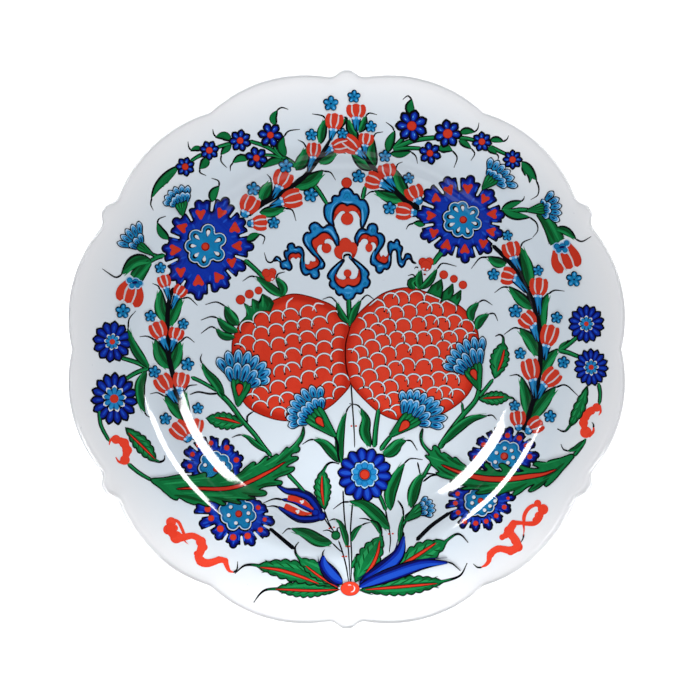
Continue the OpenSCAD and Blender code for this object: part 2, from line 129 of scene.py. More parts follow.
def linear(code):
    """Linear colour of a hex code as seen on a screen."""
    parts = [int(code[i:i + 2], 16) / 255 for i in (0, 2, 4)]
    return [c / 12.92 if c <= 0.04045 else ((c + 0.055) / 1.055) ** 2.4 for c in parts] + [1.0]


GLOSS_ROUGH = 0.07
GLASS_IOR = 1.52
WAVE_DEPTH = 0.00006       # metres
PIT_DEPTH = 0.000004


class Nodes:
    """A short way to write a material's nodes."""

    def __init__(self, name):
        self.mat = bpy.data.materials.new(name)
        self.mat.use_nodes = True
        self.tree = self.mat.node_tree
        self.bsdf = self.tree.nodes["Principled BSDF"]

    def add(self, kind, inputs=(), **settings):
        node = self.tree.nodes.new(kind)
        for key, value in settings.items():
            setattr(node, key, value)
        for key, value in dict(inputs).items():
            if isinstance(value, bpy.types.NodeSocket):
                self.tree.links.new(value, node.inputs[key])
            else:
                node.inputs[key].default_value = value
        return node

    def math(self, operation, a, b=0.5, c=0.5):
        return self.add("ShaderNodeMath", {0: a, 1: b, 2: c}, operation=operation).outputs[0]

    def noise(self, scale, detail=3.0, vector=None, rough=0.55):
        if vector is None:
            vector = self.add("ShaderNodeTexCoord").outputs["Object"]
        inputs = {"Scale": scale, "Detail": detail, "Roughness": rough, "Vector": vector}
        return self.add("ShaderNodeTexNoise", inputs).outputs["Fac"]

    def mix(self, fac, a, b):
        return self.add("ShaderNodeMix", {0: fac, 6: a, 7: b}, data_type="RGBA").outputs[2]

    def link(self, value, name):
        self.tree.links.new(value, self.bsdf.inputs[name])

    def glossy(self):
        """The clear glaze over everything: a hard gloss on a face that is never quite even."""
        self.bsdf.inputs["Roughness"].default_value = GLOSS_ROUGH
        self.bsdf.inputs["IOR"].default_value = GLASS_IOR
        waves = {"Strength": 1.0, "Distance": WAVE_DEPTH, "Height": self.noise(95.0, 2.0)}
        waves = self.add("ShaderNodeBump", waves).outputs[0]
        pits = {"Strength": 1.0, "Distance": PIT_DEPTH, "Height": self.noise(900.0, 1.0), "Normal": waves}
        self.link(self.add("ShaderNodeBump", pits).outputs[0], "Normal")


PAINTED_RIM_LIGHT_FROM = 0.118        # metres from the middle where painted light starts to make the glaze whiter
PAINTED_RIM_LIGHT_OVER = 0.026


def glaze_material():
    """Slightly blue white glaze with a few specks; painted light makes it whiter on the flange, where the
    lamps light it more brightly.
    """
    n = Nodes("white_glaze")
    cloud = n.noise(14.0, 3.0)
    speck = n.noise(420.0, 2.0)
    speck = n.math("MULTIPLY", n.math("GREATER_THAN", speck, 0.77), 0.35)
    base = n.mix(cloud, linear("D9E4EF"), linear("DEE8F1"))
    place = n.add("ShaderNodeSeparateXYZ", {0: n.add("ShaderNodeTexCoord").outputs["Object"]})
    reach = n.math("SQRT",
                   n.math("ADD", n.math("MULTIPLY", place.outputs[0], place.outputs[0]),
                          n.math("MULTIPLY", place.outputs[1], place.outputs[1])))
    # painted light: the colour turns whiter outwards over the flange, standing in for the brighter light that
    # falls there
    rim = n.math("MULTIPLY", n.math("SUBTRACT", reach, PAINTED_RIM_LIGHT_FROM), 1 / PAINTED_RIM_LIGHT_OVER)
    rim = n.math("MINIMUM", n.math("MAXIMUM", rim, 0.0), 1.0)
    base = n.mix(rim, base, linear("F6F7FA"))
    n.link(n.mix(speck, base, linear("C3C8D2")), "Base Color")
    n.glossy()
    return n.mat


def paint_material(name, dark, mid, light, edge_from, streak):
    """Brushed pigment: darker where it pools at the edges, with streaks along the stroke.

    The attribute named stroke holds the distance from the stroke's middle to its edge, the way along it,
    and a tone that differs from stroke to stroke.
    """
    n = Nodes(name)
    attribute = n.add("ShaderNodeAttribute", attribute_name="stroke")
    parts = n.add("ShaderNodeSeparateColor", {"Color": attribute.outputs["Color"]})
    edge, along, tone = parts.outputs[0], parts.outputs[1], parts.outputs[2]
    vector = n.add("ShaderNodeCombineXYZ",
                   {"X": n.math("MULTIPLY", edge, 5.0), "Y": n.math("MULTIPLY", along, 1.6),
                    "Z": n.math("MULTIPLY", tone, 40.0)}).outputs[0]
    streaks = n.noise(1.6, 3.0, vector)
    grain = n.noise(1500.0, 2.0)
    pool = n.math("MULTIPLY", n.math("SUBTRACT", edge, edge_from), 1.0 / (1.0 - edge_from))
    pool = n.math("MAXIMUM", pool, 0.0)
    value = n.math("MULTIPLY_ADD", streaks, streak, n.math("MULTIPLY_ADD", grain, 0.25, 0.18))
    value = n.math("MULTIPLY_ADD", pool, -0.55, value)
    value = n.math("MULTIPLY_ADD", tone, 0.2, value)
    ramp = n.add("ShaderNodeValToRGB", {"Fac": value})
    tones = ramp.color_ramp.elements
    tones[0].position, tones[1].position = 0.2, 0.9
    tones[0].color, tones[1].color = dark, light
    tones.new(0.5).color = mid
    n.link(ramp.outputs["Color"], "Base Color")
    n.glossy()
    return n.mat


def clay_material():
    """The bare fired clay of the tread."""
    n = Nodes("bare_clay")
    grain = n.noise(700.0, 5.0, rough=0.7)
    stain = n.noise(45.0, 3.0)
    base = n.mix(grain, linear("C9B79C"), linear("E0D2BA"))
    n.link(n.mix(n.math("MULTIPLY", stain, 0.5), base, linear("B59C7C")), "Base Color")
    n.bsdf.inputs["Roughness"].default_value = 0.85
    bump = n.add("ShaderNodeBump", {"Strength": 0.6, "Distance": 0.0002, "Height": grain})
    n.link(bump.outputs[0], "Normal")
    return n.mat


GLAZE = glaze_material()
CLAY = clay_material()
# each pigment: its material, its dark, middle and light tone, where its edge starts to darken, how strong its
# streaks are
PAINTS = {
    "black": ("black", "000003", "010208", "04050E", 0.9, 0.3),
    "navy": ("navy", "03032E", "050640", "0A1060", 0.8, 0.4),
    "cobalt": ("cobalt", "03045A", "061C90", "0E3AB4", 0.5, 0.6),
    "royal": ("royal_blue", "0C2AA2", "1446BE", "265AD2", 0.8, 0.4),
    "turquoise": ("turquoise", "04487C", "066A9E", "1A8CC6", 0.6, 0.6),
    "sky": ("sky", "085A9E", "1676B6", "3098D6", 0.6, 0.6),
    "light": ("light_blue", "2882C6", "44A0DE", "74BCEE", 0.8, 0.4),
    "pale": ("pale", "8CC0EA", "AED2F0", "D0E4F6", 0.8, 0.4),
    "gap": ("gap", "C9BEC2", "D2CBD0", "D8D4DA", 0.95, 0.3),
    "green": ("green", "033A16", "065E2E", "0E7C42", 0.6, 0.7),
    "deep": ("deep_green", "02240E", "04401A", "06582A", 0.8, 0.5),
    "leaf": ("leaf_green", "086C34", "108446", "2C9E5C", 0.8, 0.5),
    "red": ("red", "AC2210", "C8321E", "D8402A", 0.85, 0.45),
    "scarlet": ("scarlet", "BA2613", "D83822", "E6462E", 0.85, 0.45),
    "ribbon": ("bright_red", "E03420", "F04028", "F85038", 0.9, 0.4),
    "dark_red": ("dark_red", "5A0804", "7C1008", "941808", 0.9, 0.4),
    "white": ("white", "CFD3DC", "DCE0E8", "E8EBF0", 0.95, 0.3),
}
PIGMENTS = {key: paint_material("paint_" + name, linear(dark), linear(mid), linear(light), edge, streak)
            for key, (name, dark, mid, light, edge, streak) in PAINTS.items()}
PIGMENTS["ground"] = GLAZE


# ---- lathe-turned clay and glaze ---------------------------------------------------------------

TURNS = 540
SETTLED_R = 112.0          # inside this radius every ring is a true circle
EDGE_R = 146.0             # from here out every ring follows the outline


def ring_radius(s, theta):
    """Radius of the ring that would have radius s on a round plate."""
    follow = smooth((s - SETTLED_R) / (EDGE_R - SETTLED_R))
    return s + follow * (rim_radius(theta) - LOBE_REACH)


def lathe(name, section, material):
    """A closed skin turned round the plate's axis. Each point of the section is a rule: radius and height."""
    theta = np.linspace(0, 2 * np.pi, TURNS, endpoint=False)
    rings = [rule(theta) for rule in section]
    verts = [np.stack([r * np.cos(theta), r * np.sin(theta), z + 0 * theta], 1) for r, z in rings]
    verts = np.concatenate(verts) * MM
    count = len(rings)
    faces = []
    for i in range(count):
        a = i * TURNS
        b = ((i + 1) % count) * TURNS
        for j in range(TURNS):
            k = (j + 1) % TURNS
            faces.append((a + j, b + j, b + k, a + k))
    mesh = bpy.data.meshes.new(name)
    mesh.from_pydata(verts.tolist(), [], faces)
    mesh.validate()
    mesh.polygons.foreach_set("use_smooth", [True] * len(mesh.polygons))
    mesh.materials.append(material)
    obj = bpy.data.objects.new(name, mesh)
    bpy.context.scene.collection.objects.link(obj)
    return obj


def on_face(s, sunk=0.0):
    """The ring s of the face, or of a face that lies lower by sunk."""
    def rule(theta):
        r = ring_radius(s, theta)
        return r, face_height(r) + lip_height(rim_radius(theta) - r) - sunk
    return rule


def on_edge(inside, drop):
    """A point on the rim's rounded edge: its distance inside the outline and its drop below the flange."""
    def rule(theta):
        rim = rim_radius(theta)
        return rim - inside, face_height(rim) - drop
    return rule


def on_back(s, lifted=0.0):
    """The ring s of the back, or of a back that lies higher by lifted."""
    def rule(theta):
        r = ring_radius(s, theta)
        return r, back_height(r) + lifted
    return rule


def at(r, z):
    """A true circle of radius r at height z."""
    return lambda theta: (r + 0 * theta, z)


FACE_RINGS = np.concatenate([[0.5], np.arange(6, 78, 6), np.arange(78, 114, 0.75), np.arange(114, 142, 2.5),
                             np.arange(142, 148.6, 0.4)])
BACK_RINGS = np.concatenate([np.arange(146, 112, -3), np.arange(111, FOOT_OUTER_R + 2, -1.0)])
UNDER = float(back_height(np.array([0.0]))[0])


def outside_edge(grown):
    """The rim's edge from the lip down to the parting line of the two glazes."""
    points = [(1.1, -0.72), (0.72, -0.5), (0.4, -0.15), (0.15, 0.4), (0.03, 1.1), (0.0, 2.0), (0.0, 3.0)]
    return [on_edge(inside + grown, drop + grown * (drop < 1)) for inside, drop in points]


def lower_edge(grown):
    """The rim's edge from the parting line down to the back."""
    points = [(0.02, 3.05), (0.15, 3.9), (0.55, 4.7), (1.2, 5.3), (2.2, 5.75)]
    return [on_edge(inside + grown, drop - grown * (drop > 4)) for inside, drop in points]


def plate_face():
    outer = [on_face(s) for s in FACE_RINGS] + outside_edge(0)
    inner = [on_face(s, GLAZE_T) for s in FACE_RINGS] + outside_edge(GLAZE_T)
    return lathe("plate_face", outer + inner[::-1], GLAZE)


def plate_back():
    foot = FOOT_OUTER_R + GLAZE_T
    tuck = [at(foot + 1.4, UNDER - 0.1), at(foot + 0.5, UNDER - 0.7), at(foot, UNDER - 1.8)]
    outer = lower_edge(0) + [on_back(s) for s in BACK_RINGS] + tuck + [at(foot, TREAD_H)]
    inner = lower_edge(GLAZE_T) + [on_back(s, GLAZE_T) for s in BACK_RINGS]
    inner += [at(FOOT_OUTER_R + 0.3, UNDER + GLAZE_T), at(FOOT_OUTER_R, UNDER - 1.6),
              at(FOOT_OUTER_R, TREAD_H)]
    return lathe("plate_back", outer + inner[::-1], GLAZE)


def plate_under():
    well = FOOT_INNER_R - GLAZE_T
    low = [at(well, TREAD_H), at(well, UNDER - 2.2), at(well - 0.6, UNDER - 1.0),
           at(well - 1.8, UNDER - 0.2), at(well - 3.4, UNDER), at(40, UNDER), at(0.5, UNDER)]
    high = [at(FOOT_INNER_R, TREAD_H), at(FOOT_INNER_R, UNDER - 1.9), at(well - 1.0, UNDER + 0.1),
            at(well - 3.2, UNDER + GLAZE_T), at(40, UNDER + GLAZE_T), at(0.5, UNDER + GLAZE_T)]
    return lathe("plate_under", low + high[::-1], GLAZE)


def clay_body():
    face = [on_face(s, GLAZE_T + 0.02) for s in FACE_RINGS[::2]]
    edge = [on_edge(1.2, 0.2), on_edge(0.5, 1.2), on_edge(0.4, 3.0), on_edge(0.8, 4.2), on_edge(2.2, 5.2)]
    back = [on_back(s, GLAZE_T + 0.02) for s in BACK_RINGS[::2]]
    tread = [at(FOOT_OUTER_R - 0.02, UNDER), at(FOOT_OUTER_R - 0.02, 0.9), at(FOOT_OUTER_R - 0.3, 0.35),
             at(FOOT_OUTER_R - 1.0, 0), at(FOOT_INNER_R + 1.0, 0), at(FOOT_INNER_R + 0.3, 0.35),
             at(FOOT_INNER_R + 0.02, 0.9), at(FOOT_INNER_R + 0.02, UNDER + 0.4)]
    return lathe("clay_body", face + edge + back + tread + [at(0.5, UNDER + 0.4)], CLAY)


def drill(pieces):
    """The two hanging holes through the foot ring, near the top of the plate."""
    for side in (-1, 1):
        turn = math.radians(90 + side * HOLE_ANGLE)
        bpy.ops.mesh.primitive_cylinder_add(vertices=40, radius=HOLE_R * MM, depth=BIT_LENGTH * MM)
        bit = bpy.context.active_object
        middle = (FOOT_OUTER_R + FOOT_INNER_R) / 2 * MM
        bit.location = (middle * math.cos(turn), middle * math.sin(turn), HOLE_Z * MM)
        bit.rotation_euler = (math.pi / 2, 0, turn + math.pi / 2)
        for piece in pieces:
            cut = piece.modifiers.new("hole", "BOOLEAN")
            cut.object = bit
            cut.operation = "DIFFERENCE"
            cut.solver = "EXACT"
            bpy.context.view_layer.objects.active = piece
            bpy.ops.object.modifier_apply(modifier=cut.name)
        bpy.data.objects.remove(bit)


face = plate_face()
back = plate_back()
under = plate_under()
body = clay_body()
drill([back, under, body])
for piece, node, slot in (
        (face, "front_glaze", "white_glaze"), (back, "back_glaze", "white_glaze"),
        (under, "back_glaze", "white_glaze"), (body, "biscuit_body", "clay")):
    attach(piece, ROOT)
    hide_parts(node)


# ---- the painter's strokes ---------------------------------------------------------------------

LEVEL = 0.030              # each coat lies this much above the one below
SUNK = -0.02               # the underside of a stroke, a little inside the glaze
random = np.random.default_rng(7)


def bow(a, b, c, d, count):
    """The stretch from b to c of the smooth curve through four points."""
    t = np.linspace(0, 1, count, endpoint=False)[:, None]
    square, cube = 2 * a - 5 * b + 4 * c - d, 3 * b - a - 3 * c + d
    return 0.5 * (2 * b + t * (c - a) + t * t * square + t ** 3 * cube)


def spline(points, count):
    """Points evenly spaced along the smooth curve through given points."""
    p = np.array(points, float)
    if len(p) == 2:
        t = np.linspace(0, 1, count)[:, None]
        return p[0] + (p[1] - p[0]) * t
    ends = np.concatenate([[2 * p[0] - p[1]], p, [2 * p[-1] - p[-2]]])
    dense = [bow(*ends[i:i + 4], 24) for i in range(len(p) - 1)]
    return evenly(np.concatenate(dense + [p[-1:]]), count)


def evenly(line, count):
    """The same line with its points evenly spaced."""
    steps = np.linalg.norm(np.diff(line, axis=0), axis=1)
    length = np.concatenate([[0], np.cumsum(steps)])
    want = np.linspace(0, length[-1], count)
    return np.stack([np.interp(want, length, line[:, 0]), np.interp(want, length, line[:, 1])], 1)


def loop(points, count):
    """Points round the smooth closed curve through given points."""
    p = np.array(points, float)
    n = len(p)
    dense = [bow(p[i - 1], p[i], p[(i + 1) % n], p[(i + 2) % n], 16) for i in range(n)]
    return evenly(np.concatenate(dense + [p[:1]]), count + 1)[:-1]


def normals(line, closed=False):
    if closed:
        run = np.roll(line, -1, 0) - np.roll(line, 1, 0)
    else:
        run = np.gradient(line, axis=0)
    run /= np.maximum(np.linalg.norm(run, axis=1), 1e-9)[:, None]
    return np.stack([-run[:, 1], run[:, 0]], 1)


def leaf_shape(s):
    return np.sin(np.pi * s ** 0.8) ** 0.85


def petal_shape(s):
    return np.clip(0.42 + 0.75 * s, 0, 1) * np.clip((1 - s ** 7), 0, 1) ** 0.5


def stem_shape(s):
    return 1.0 - 0.25 * s


def hair_shape(s):
    return (1 - s) ** 0.7


def both_ends(s):
    return np.clip(np.sin(np.pi * s), 0, 1) ** 0.5


def round_ends(s):
    return np.clip(1 - np.abs(2 * s - 1) ** 4, 0, 1) ** 0.5


def disc(r, squash, turn):
    a = np.linspace(0, 2 * np.pi, 28, endpoint=False)
    x, y = r * np.cos(a), r * squash * np.sin(a)
    c, s = math.cos(math.radians(turn)), math.sin(math.radians(turn))
    return np.stack([x * c - y * s, x * s + y * c], 1)


def bend_step(points):
    """How far apart a stroke's points may lie: close where the plate's face bends, wide on the flat."""
    r = np.hypot(points[:, 0], points[:, 1])
    return 0.95 if r.max() > FLOOR_R and r.min() < SHOULDER_R else 5.0


def nearest(outline, spots):
    """Distance from each spot to the nearest point of an outline."""
    return np.array([np.hypot(*(outline - spot).T).min() for spot in spots])


def within(outline, spots, margin):
    """Which spots lie inside an outline, and at least margin from its edge."""
    q = np.roll(outline, -1, 0)
    rise = np.where(q[:, 1] == outline[:, 1], 1e-9, q[:, 1] - outline[:, 1])
    keep = []
    for x, y in spots:
        crossing = (outline[:, 1] > y) != (q[:, 1] > y)
        at_x = (q[:, 0] - outline[:, 0]) * (y - outline[:, 1]) / rise + outline[:, 0]
        keep.append(np.count_nonzero(crossing & (x < at_x)) % 2 == 1)
    keep = np.array(keep, bool)
    keep[keep] = nearest(outline, spots[keep]) > margin
    return keep


def anticlockwise(p):
    """The outline, turned round where it runs clockwise."""
    turning = np.sum(p[:, 0] * np.roll(p[:, 1], -1) - np.roll(p[:, 0], -1) * p[:, 1])
    return p[::-1] if turning < 0 else p


def moved(outline, grow):
    """The outline moved outwards by grow, without the loops that this makes at sharp corners."""
    p = anticlockwise(outline)
    if abs(grow) < 0.01:
        return p
    q = p - normals(p, closed=True) * grow
    return q[nearest(p, q) > abs(grow) * 0.93]


class Motif:
    """All the strokes that stand for one painted node."""

    def __init__(self, node, slot):
        self.node, self.slot = node, slot
        self.points, self.attrs, self.faces, self.paints = [], [], [], []
        self.count, self.laid = 0, 0
        self.pigments = []

    def _push(self, points, attrs, faces, pigment):
        if pigment not in self.pigments:
            self.pigments.append(pigment)
        self.points.append(points)
        self.attrs.append(attrs)
        self.faces.extend([tuple(int(v) + self.count for v in f) for f in faces])
        self.paints.extend([self.pigments.index(pigment)] * len(faces))
        self.count += len(points)

    def coat(self, level):
        """Height of the next coat's top. Coats on one level still differ by a hair, so that none coincide."""
        self.laid += 1
        return level * LEVEL + 0.0017 * (self.laid % 14)

    def stroke(self, pigment, level, points, width, shape=leaf_shape, grow=0.0, shift=0.0, across=4,
               step=1.1):
        """A brush stroke along a curve. grow widens it all round, and shift moves it sideways to its left."""
        grow += HEAVY if pigment == "black" else 0.0
        rough = spline(points, 40)
        length = float(np.linalg.norm(np.diff(rough, axis=0), axis=1).sum())
        n = int(np.clip(length / min(step, bend_step(rough)), 7, 90)) + 1
        line = spline(points, n)
        side = normals(line)
        s = np.linspace(0, 1, n)
        across = max(across, int(np.ceil(width / bend_step(line))))
        half = np.maximum(width / 2 * shape(s), 0.04) + grow
        if grow:
            line = line.copy()
            line[0] += (line[0] - line[1]) / max(np.linalg.norm(line[0] - line[1]), 1e-9) * grow
            line[-1] += (line[-1] - line[-2]) / max(np.linalg.norm(line[-1] - line[-2]), 1e-9) * grow
            half[0] = half[-1] = max(0.1, half[0] * 0.3)
        line = line + side * shift
        v = np.linspace(-1, 1, across + 1)
        grid = line[:, None, :] + side[:, None, :] * (half[:, None] * v[None, :])[:, :, None]
        self.grid(pigment, level, grid, np.abs(v)[None, :] + 0 * half[:, None], s[:, None] + 0 * v[None, :])

    def grid(self, pigment, level, grid, edge, along):
        """A closed strip over a grid of points, with its underside in the glaze."""
        n, m = grid.shape[:2]
        tone = random.random()
        bends = bend_step(grid.reshape(-1, 2)) < 2
        under = grid if bends else grid[:, [0, -1]]
        w = under.shape[1]
        top = np.concatenate([grid.reshape(-1, 2), np.full((n * m, 1), self.coat(level))], 1)
        low = np.concatenate([under.reshape(-1, 2), np.full((n * w, 1), SUNK)], 1)
        attrs = np.stack([edge.ravel(), along.ravel(), np.full(n * m, tone)], 1)
        low_attrs = np.stack([np.ones(n * w), np.zeros(n * w), np.full(n * w, tone)], 1)
        a = np.arange(n * m).reshape(n, m)
        b = n * m + np.arange(n * w).reshape(n, w)
        quads = np.stack([a[:-1, :-1], a[1:, :-1], a[1:, 1:], a[:-1, 1:]], -1).reshape(-1, 4).tolist()
        quads += np.stack([b[:-1, 1:], b[1:, 1:], b[1:, :-1], b[:-1, :-1]], -1).reshape(-1, 4).tolist()
        quads += np.stack([a[:-1, 0], b[:-1, 0], b[1:, 0], a[1:, 0]], -1).tolist()
        quads += np.stack([a[1:, -1], b[1:, -1], b[:-1, -1], a[:-1, -1]], -1).tolist()
        quads.append(list(a[0, ::-1]) + list(b[0]))
        quads.append(list(a[-1]) + list(b[-1, ::-1]))
        self._push(np.concatenate([top, low]), np.concatenate([attrs, low_attrs]), quads, pigment)

    def patch(self, pigment, level, outline, centre=None, grow=0.0, rings=5):
        """A blot filled from its outline. The outline has to be visible all round from its centre."""
        p = anticlockwise(np.array(outline, float))
        if centre is None:
            centre = p.mean(0)
        centre = np.array(centre, float)
        p = p - normals(p, closed=True) * grow
        step = bend_step(p)
        rings = max(rings, int(np.ceil(np.linalg.norm(p - centre, axis=1).max() / step)))
        n = len(p)
        tone = random.random()
        nxt = (np.arange(n) + 1) % n
        points, attrs, faces = [], [], []
        for side, height in ((0, self.coat(level)), (1, SUNK)):
            rows = rings if side == 0 or step < 2 else 1
            rho = np.arange(1, rows + 1) / rows
            spots = centre + rho[:, None, None] * (p - centre)[None, :, :]
            spots = np.concatenate([[centre], spots.reshape(-1, 2)])
            start = sum(len(q) for q in points)
            points.append(np.concatenate([spots, np.full((len(spots), 1), height)], 1))
            attrs.append(np.concatenate([[[side, 0, tone]], np.stack([
                np.maximum(np.repeat(rho, n), side), np.tile(np.arange(n) / n, rows),
                np.full(n * rows, tone)], 1)]))
            idx = start + 1 + np.arange(n * rows).reshape(rows, n)
            made = np.stack([np.full(n, start), idx[0], idx[0][nxt]], 1).tolist()
            quads = np.stack([idx[:-1], idx[1:], idx[1:][:, nxt], idx[:-1][:, nxt]], -1)
            made += quads.reshape(-1, 4).tolist()
            faces += [f[::-1] for f in made] if side else made
            if side == 0:
                edge = idx[-1]
            else:
                faces += np.stack([edge, idx[-1], idx[-1][nxt], edge[nxt]], 1).tolist()
        self._push(np.concatenate(points), np.concatenate(attrs), faces, pigment)

    def fill(self, pigment, level, outline, grow=0.0, soft=1.6):
        """A flat area of any outline. grow moves its edge out, or in when it is negative."""
        grow += HEAVY if pigment == "black" else 0.0
        p = moved(np.array(outline, float), grow)
        step = bend_step(p)
        pitch = min(step, 1.5)
        low, high = p.min(0), p.max(0)
        across, up = np.meshgrid(
            np.arange(low[0] + pitch / 2, high[0], pitch), np.arange(low[1], high[1], pitch))
        across = across + (np.arange(len(across)) % 2)[:, None] * pitch / 2
        spots = np.stack([across.ravel(), up.ravel()], 1)
        spots = spots[within(p, spots, 0.35 * pitch)]
        n = len(p)
        every = np.concatenate([p, spots])
        edges = [(i, (i + 1) % n) for i in range(n)]
        made = delaunay_2d_cdt([Vector(v) for v in every.tolist()], edges, [], 1, 1e-5)
        every = np.array([tuple(v) for v in made[0]])
        faces = [list(f) for f in made[2]]
        count = len(every)
        used = dict.fromkeys(pair for f in faces for pair in zip(f, f[1:] + f[:1]))
        walls = [(a + count, b + count, b, a) for a, b in used if (b, a) not in used]
        edge = 1 - np.clip(nearest(p, every) / soft, 0, 1)
        tone = random.random()
        attrs = np.stack([edge, (every[:, 0] + every[:, 1]) / 12, np.full(count, tone)], 1)
        top = np.concatenate([every, np.full((count, 1), self.coat(level))], 1)
        under = np.concatenate([every, np.full((count, 1), SUNK)], 1)
        faces = faces + [[v + count for v in f[::-1]] for f in faces] + walls
        self._push(np.concatenate([top, under]), np.concatenate([attrs, attrs]), faces, pigment)

    def dot(self, pigment, level, centre, r, squash=1.0, turn=0.0, grow=0.0):
        self.patch(pigment, level, disc(r + grow, squash, turn) + np.array(centre, float), centre, rings=3)

    def done(self):
        """Makes the mesh, bent onto the plate's face and shaded as the face is."""
        flat = np.concatenate(self.points)
        x, y, up = flat[:, 0], flat[:, 1], flat[:, 2]
        r = np.hypot(x, y)
        z = face_height(r) + up
        slope = face_slope(r)
        normal = np.stack(
            [-slope * x / np.maximum(r, 1e-6), -slope * y / np.maximum(r, 1e-6), np.ones_like(r)], 1)
        normal /= np.linalg.norm(normal, axis=1)[:, None]
        mesh = bpy.data.meshes.new(self.node)
        mesh.from_pydata((np.stack([x, y, z], 1) * MM).tolist(), [], self.faces)
        mesh.polygons.foreach_set("use_smooth", [True] * len(mesh.polygons))
        mesh.polygons.foreach_set("material_index", self.paints)
        layer = mesh.attributes.new("stroke", "FLOAT_COLOR", "POINT")
        values = np.concatenate([np.concatenate(self.attrs), np.ones((len(flat), 1))], 1)
        layer.data.foreach_set("color", values.astype(np.float32).ravel())
        for pigment in self.pigments:
            mesh.materials.append(PIGMENTS[pigment])
        mesh.normals_split_custom_set_from_vertices(normal.tolist())
        obj = bpy.data.objects.new(self.node + "_paint", mesh)
        bpy.context.scene.collection.objects.link(obj)
        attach(obj, ROOT)
        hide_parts(self.node)


# ---- small shapes that many motifs share -------------------------------------------------------

def vec(degrees, r=1.0):
    return np.array([math.cos(math.radians(degrees)), math.sin(math.radians(degrees))]) * r


def spokes(count, turn):
    """The bearings of so many even rays, the first of them at turn."""
    return [turn + 360 * i / count for i in range(count)]


def ray(centre, bearing, inner, outer, size=1.0):
    """The two ends of a ray between two radii. size squashes the circle that it stands on."""
    return [centre + vec(bearing, inner) * size, centre + vec(bearing, outer) * size]


def turned(points, degrees, centre, scale):
    """The points scaled, turned and moved to a centre."""
    c, s = math.cos(math.radians(degrees)), math.sin(math.radians(degrees))
    p = np.array(points, float) * scale
    return p @ np.array([[c, s], [-s, c]]) + np.array(centre, float)


HEART = loop([(-0.62, 0), (-0.1, 0.36), (0.3, 0.56), (0.52, 0.34), (0.36, 0), (0.52, -0.34), (0.3, -0.56),
              (-0.1, -0.36)], 36)
DROP = loop([(-0.5, 0), (-0.2, 0.16), (0.2, 0.3), (0.48, 0.2), (0.55, 0), (0.48, -0.2), (0.2, -0.3),
             (-0.2, -0.16)], 28)


def leaf(m, level, points, width, hair=(), dark_side=1, vein=True):
    """A green leaf with a black edge that is heavier on one side, and often a fine hair at its tip."""
    m.stroke("black", level, points, width, grow=0.35, shift=-0.28 * dark_side)
    m.stroke("green", level + 1, points, width * 0.94, shift=0.1 * dark_side)
    if vein and width > 2.6:
        m.stroke("leaf", level + 2, points, width * 0.3, shift=width * 0.24 * dark_side, across=2)
        m.stroke("deep", level + 2, points, width * 0.26, shift=-width * 0.14 * dark_side, across=2)
    if len(hair):
        m.stroke("black", level, [points[-1]] + list(hair), 0.85, hair_shape, across=2)


def stalk(m, level, points, width):
    """A green stem with a black line on each side."""
    m.stroke("black", level, points, width, stem_shape, grow=0.3)
    m.stroke("green", level + 1, points, width * 0.9, stem_shape)
    m.stroke("leaf", level + 2, points, width * 0.3, stem_shape, shift=width * 0.15, across=2)


def tulip(m, level, base, tip, width, foot):
    """Three red petals with pale gaps between them, on a blue wedge that ends in the branch."""
    base, tip, foot = (np.array(p, float) for p in (base, tip, foot))
    run = tip - base
    length = np.linalg.norm(run)
    run /= length
    across = np.array([-run[1], run[0]])
    width *= 0.93

    def at(u, v):
        return base + run * length * u + across * width * v

    half = [(-0.03, 0.15), (0.12, 0.32), (0.32, 0.44), (0.56, 0.49), (0.8, 0.48), (0.97, 0.41), (1.0, 0.33),
            (0.94, 0.2), (1.02, 0.12), (1.06, 0.0)]
    m.fill("red", level, [at(u, -v) for u, v in half] + [at(u, v) for u, v in half[-2::-1]], soft=0.7)
    for side in (-1, 1):
        m.stroke("gap", level + 2, [at(0.16, side * 0.1), at(0.5, side * 0.2), at(0.99, side * 0.2)], 0.85,
                 round_ends, across=2)
    cup = np.linalg.norm(foot - base)
    wide = min(5.0, width * 0.46)
    rule = (lambda s: 0.18 + 0.82 * s) if cup > 3.4 else (lambda s: 0.7 + 0.3 * s)
    m.stroke("black", level + 3, [foot, base + run * 0.7], wide, rule, grow=0.3)
    m.stroke("sky", level + 4, [foot, base + run * 0.6], wide * 0.9, rule)
    m.stroke("turquoise", level + 5, [foot, (foot + base) / 2, base], wide * 0.3, both_ends,
             shift=-wide * 0.15)
    for side in (-1, 0, 1):
        m.dot("pale" if side else "light", level + 6, base + across * side * wide * 0.3 + run * 0.4,
              wide * 0.17)
    if cup > 3.4:
        m.stroke("black", level + 5, [foot, (foot + base) / 2], wide * 0.22, hair_shape, across=2)


def star(m, level, centre, r, turn):
    """A turquoise flower of five round petals with black-tipped edges."""
    centre = np.array(centre, float)
    for a in spokes(5, turn):
        m.dot("black", level, centre + vec(a, r * 0.66) + (-0.15, 0.15), r * 0.34, grow=0.35)
    m.dot("turquoise", level + 1, centre, r * 0.46)
    for a in spokes(5, turn):
        m.stroke("turquoise", level + 2, [centre, centre + vec(a, r)], r * 0.68, round_petal, step=0.5)
        m.stroke("light", level + 3, ray(centre, a, r * 0.5, r * 0.9), r * 0.22, both_ends, across=2)
    m.dot("navy", level + 4, centre, r * 0.13)


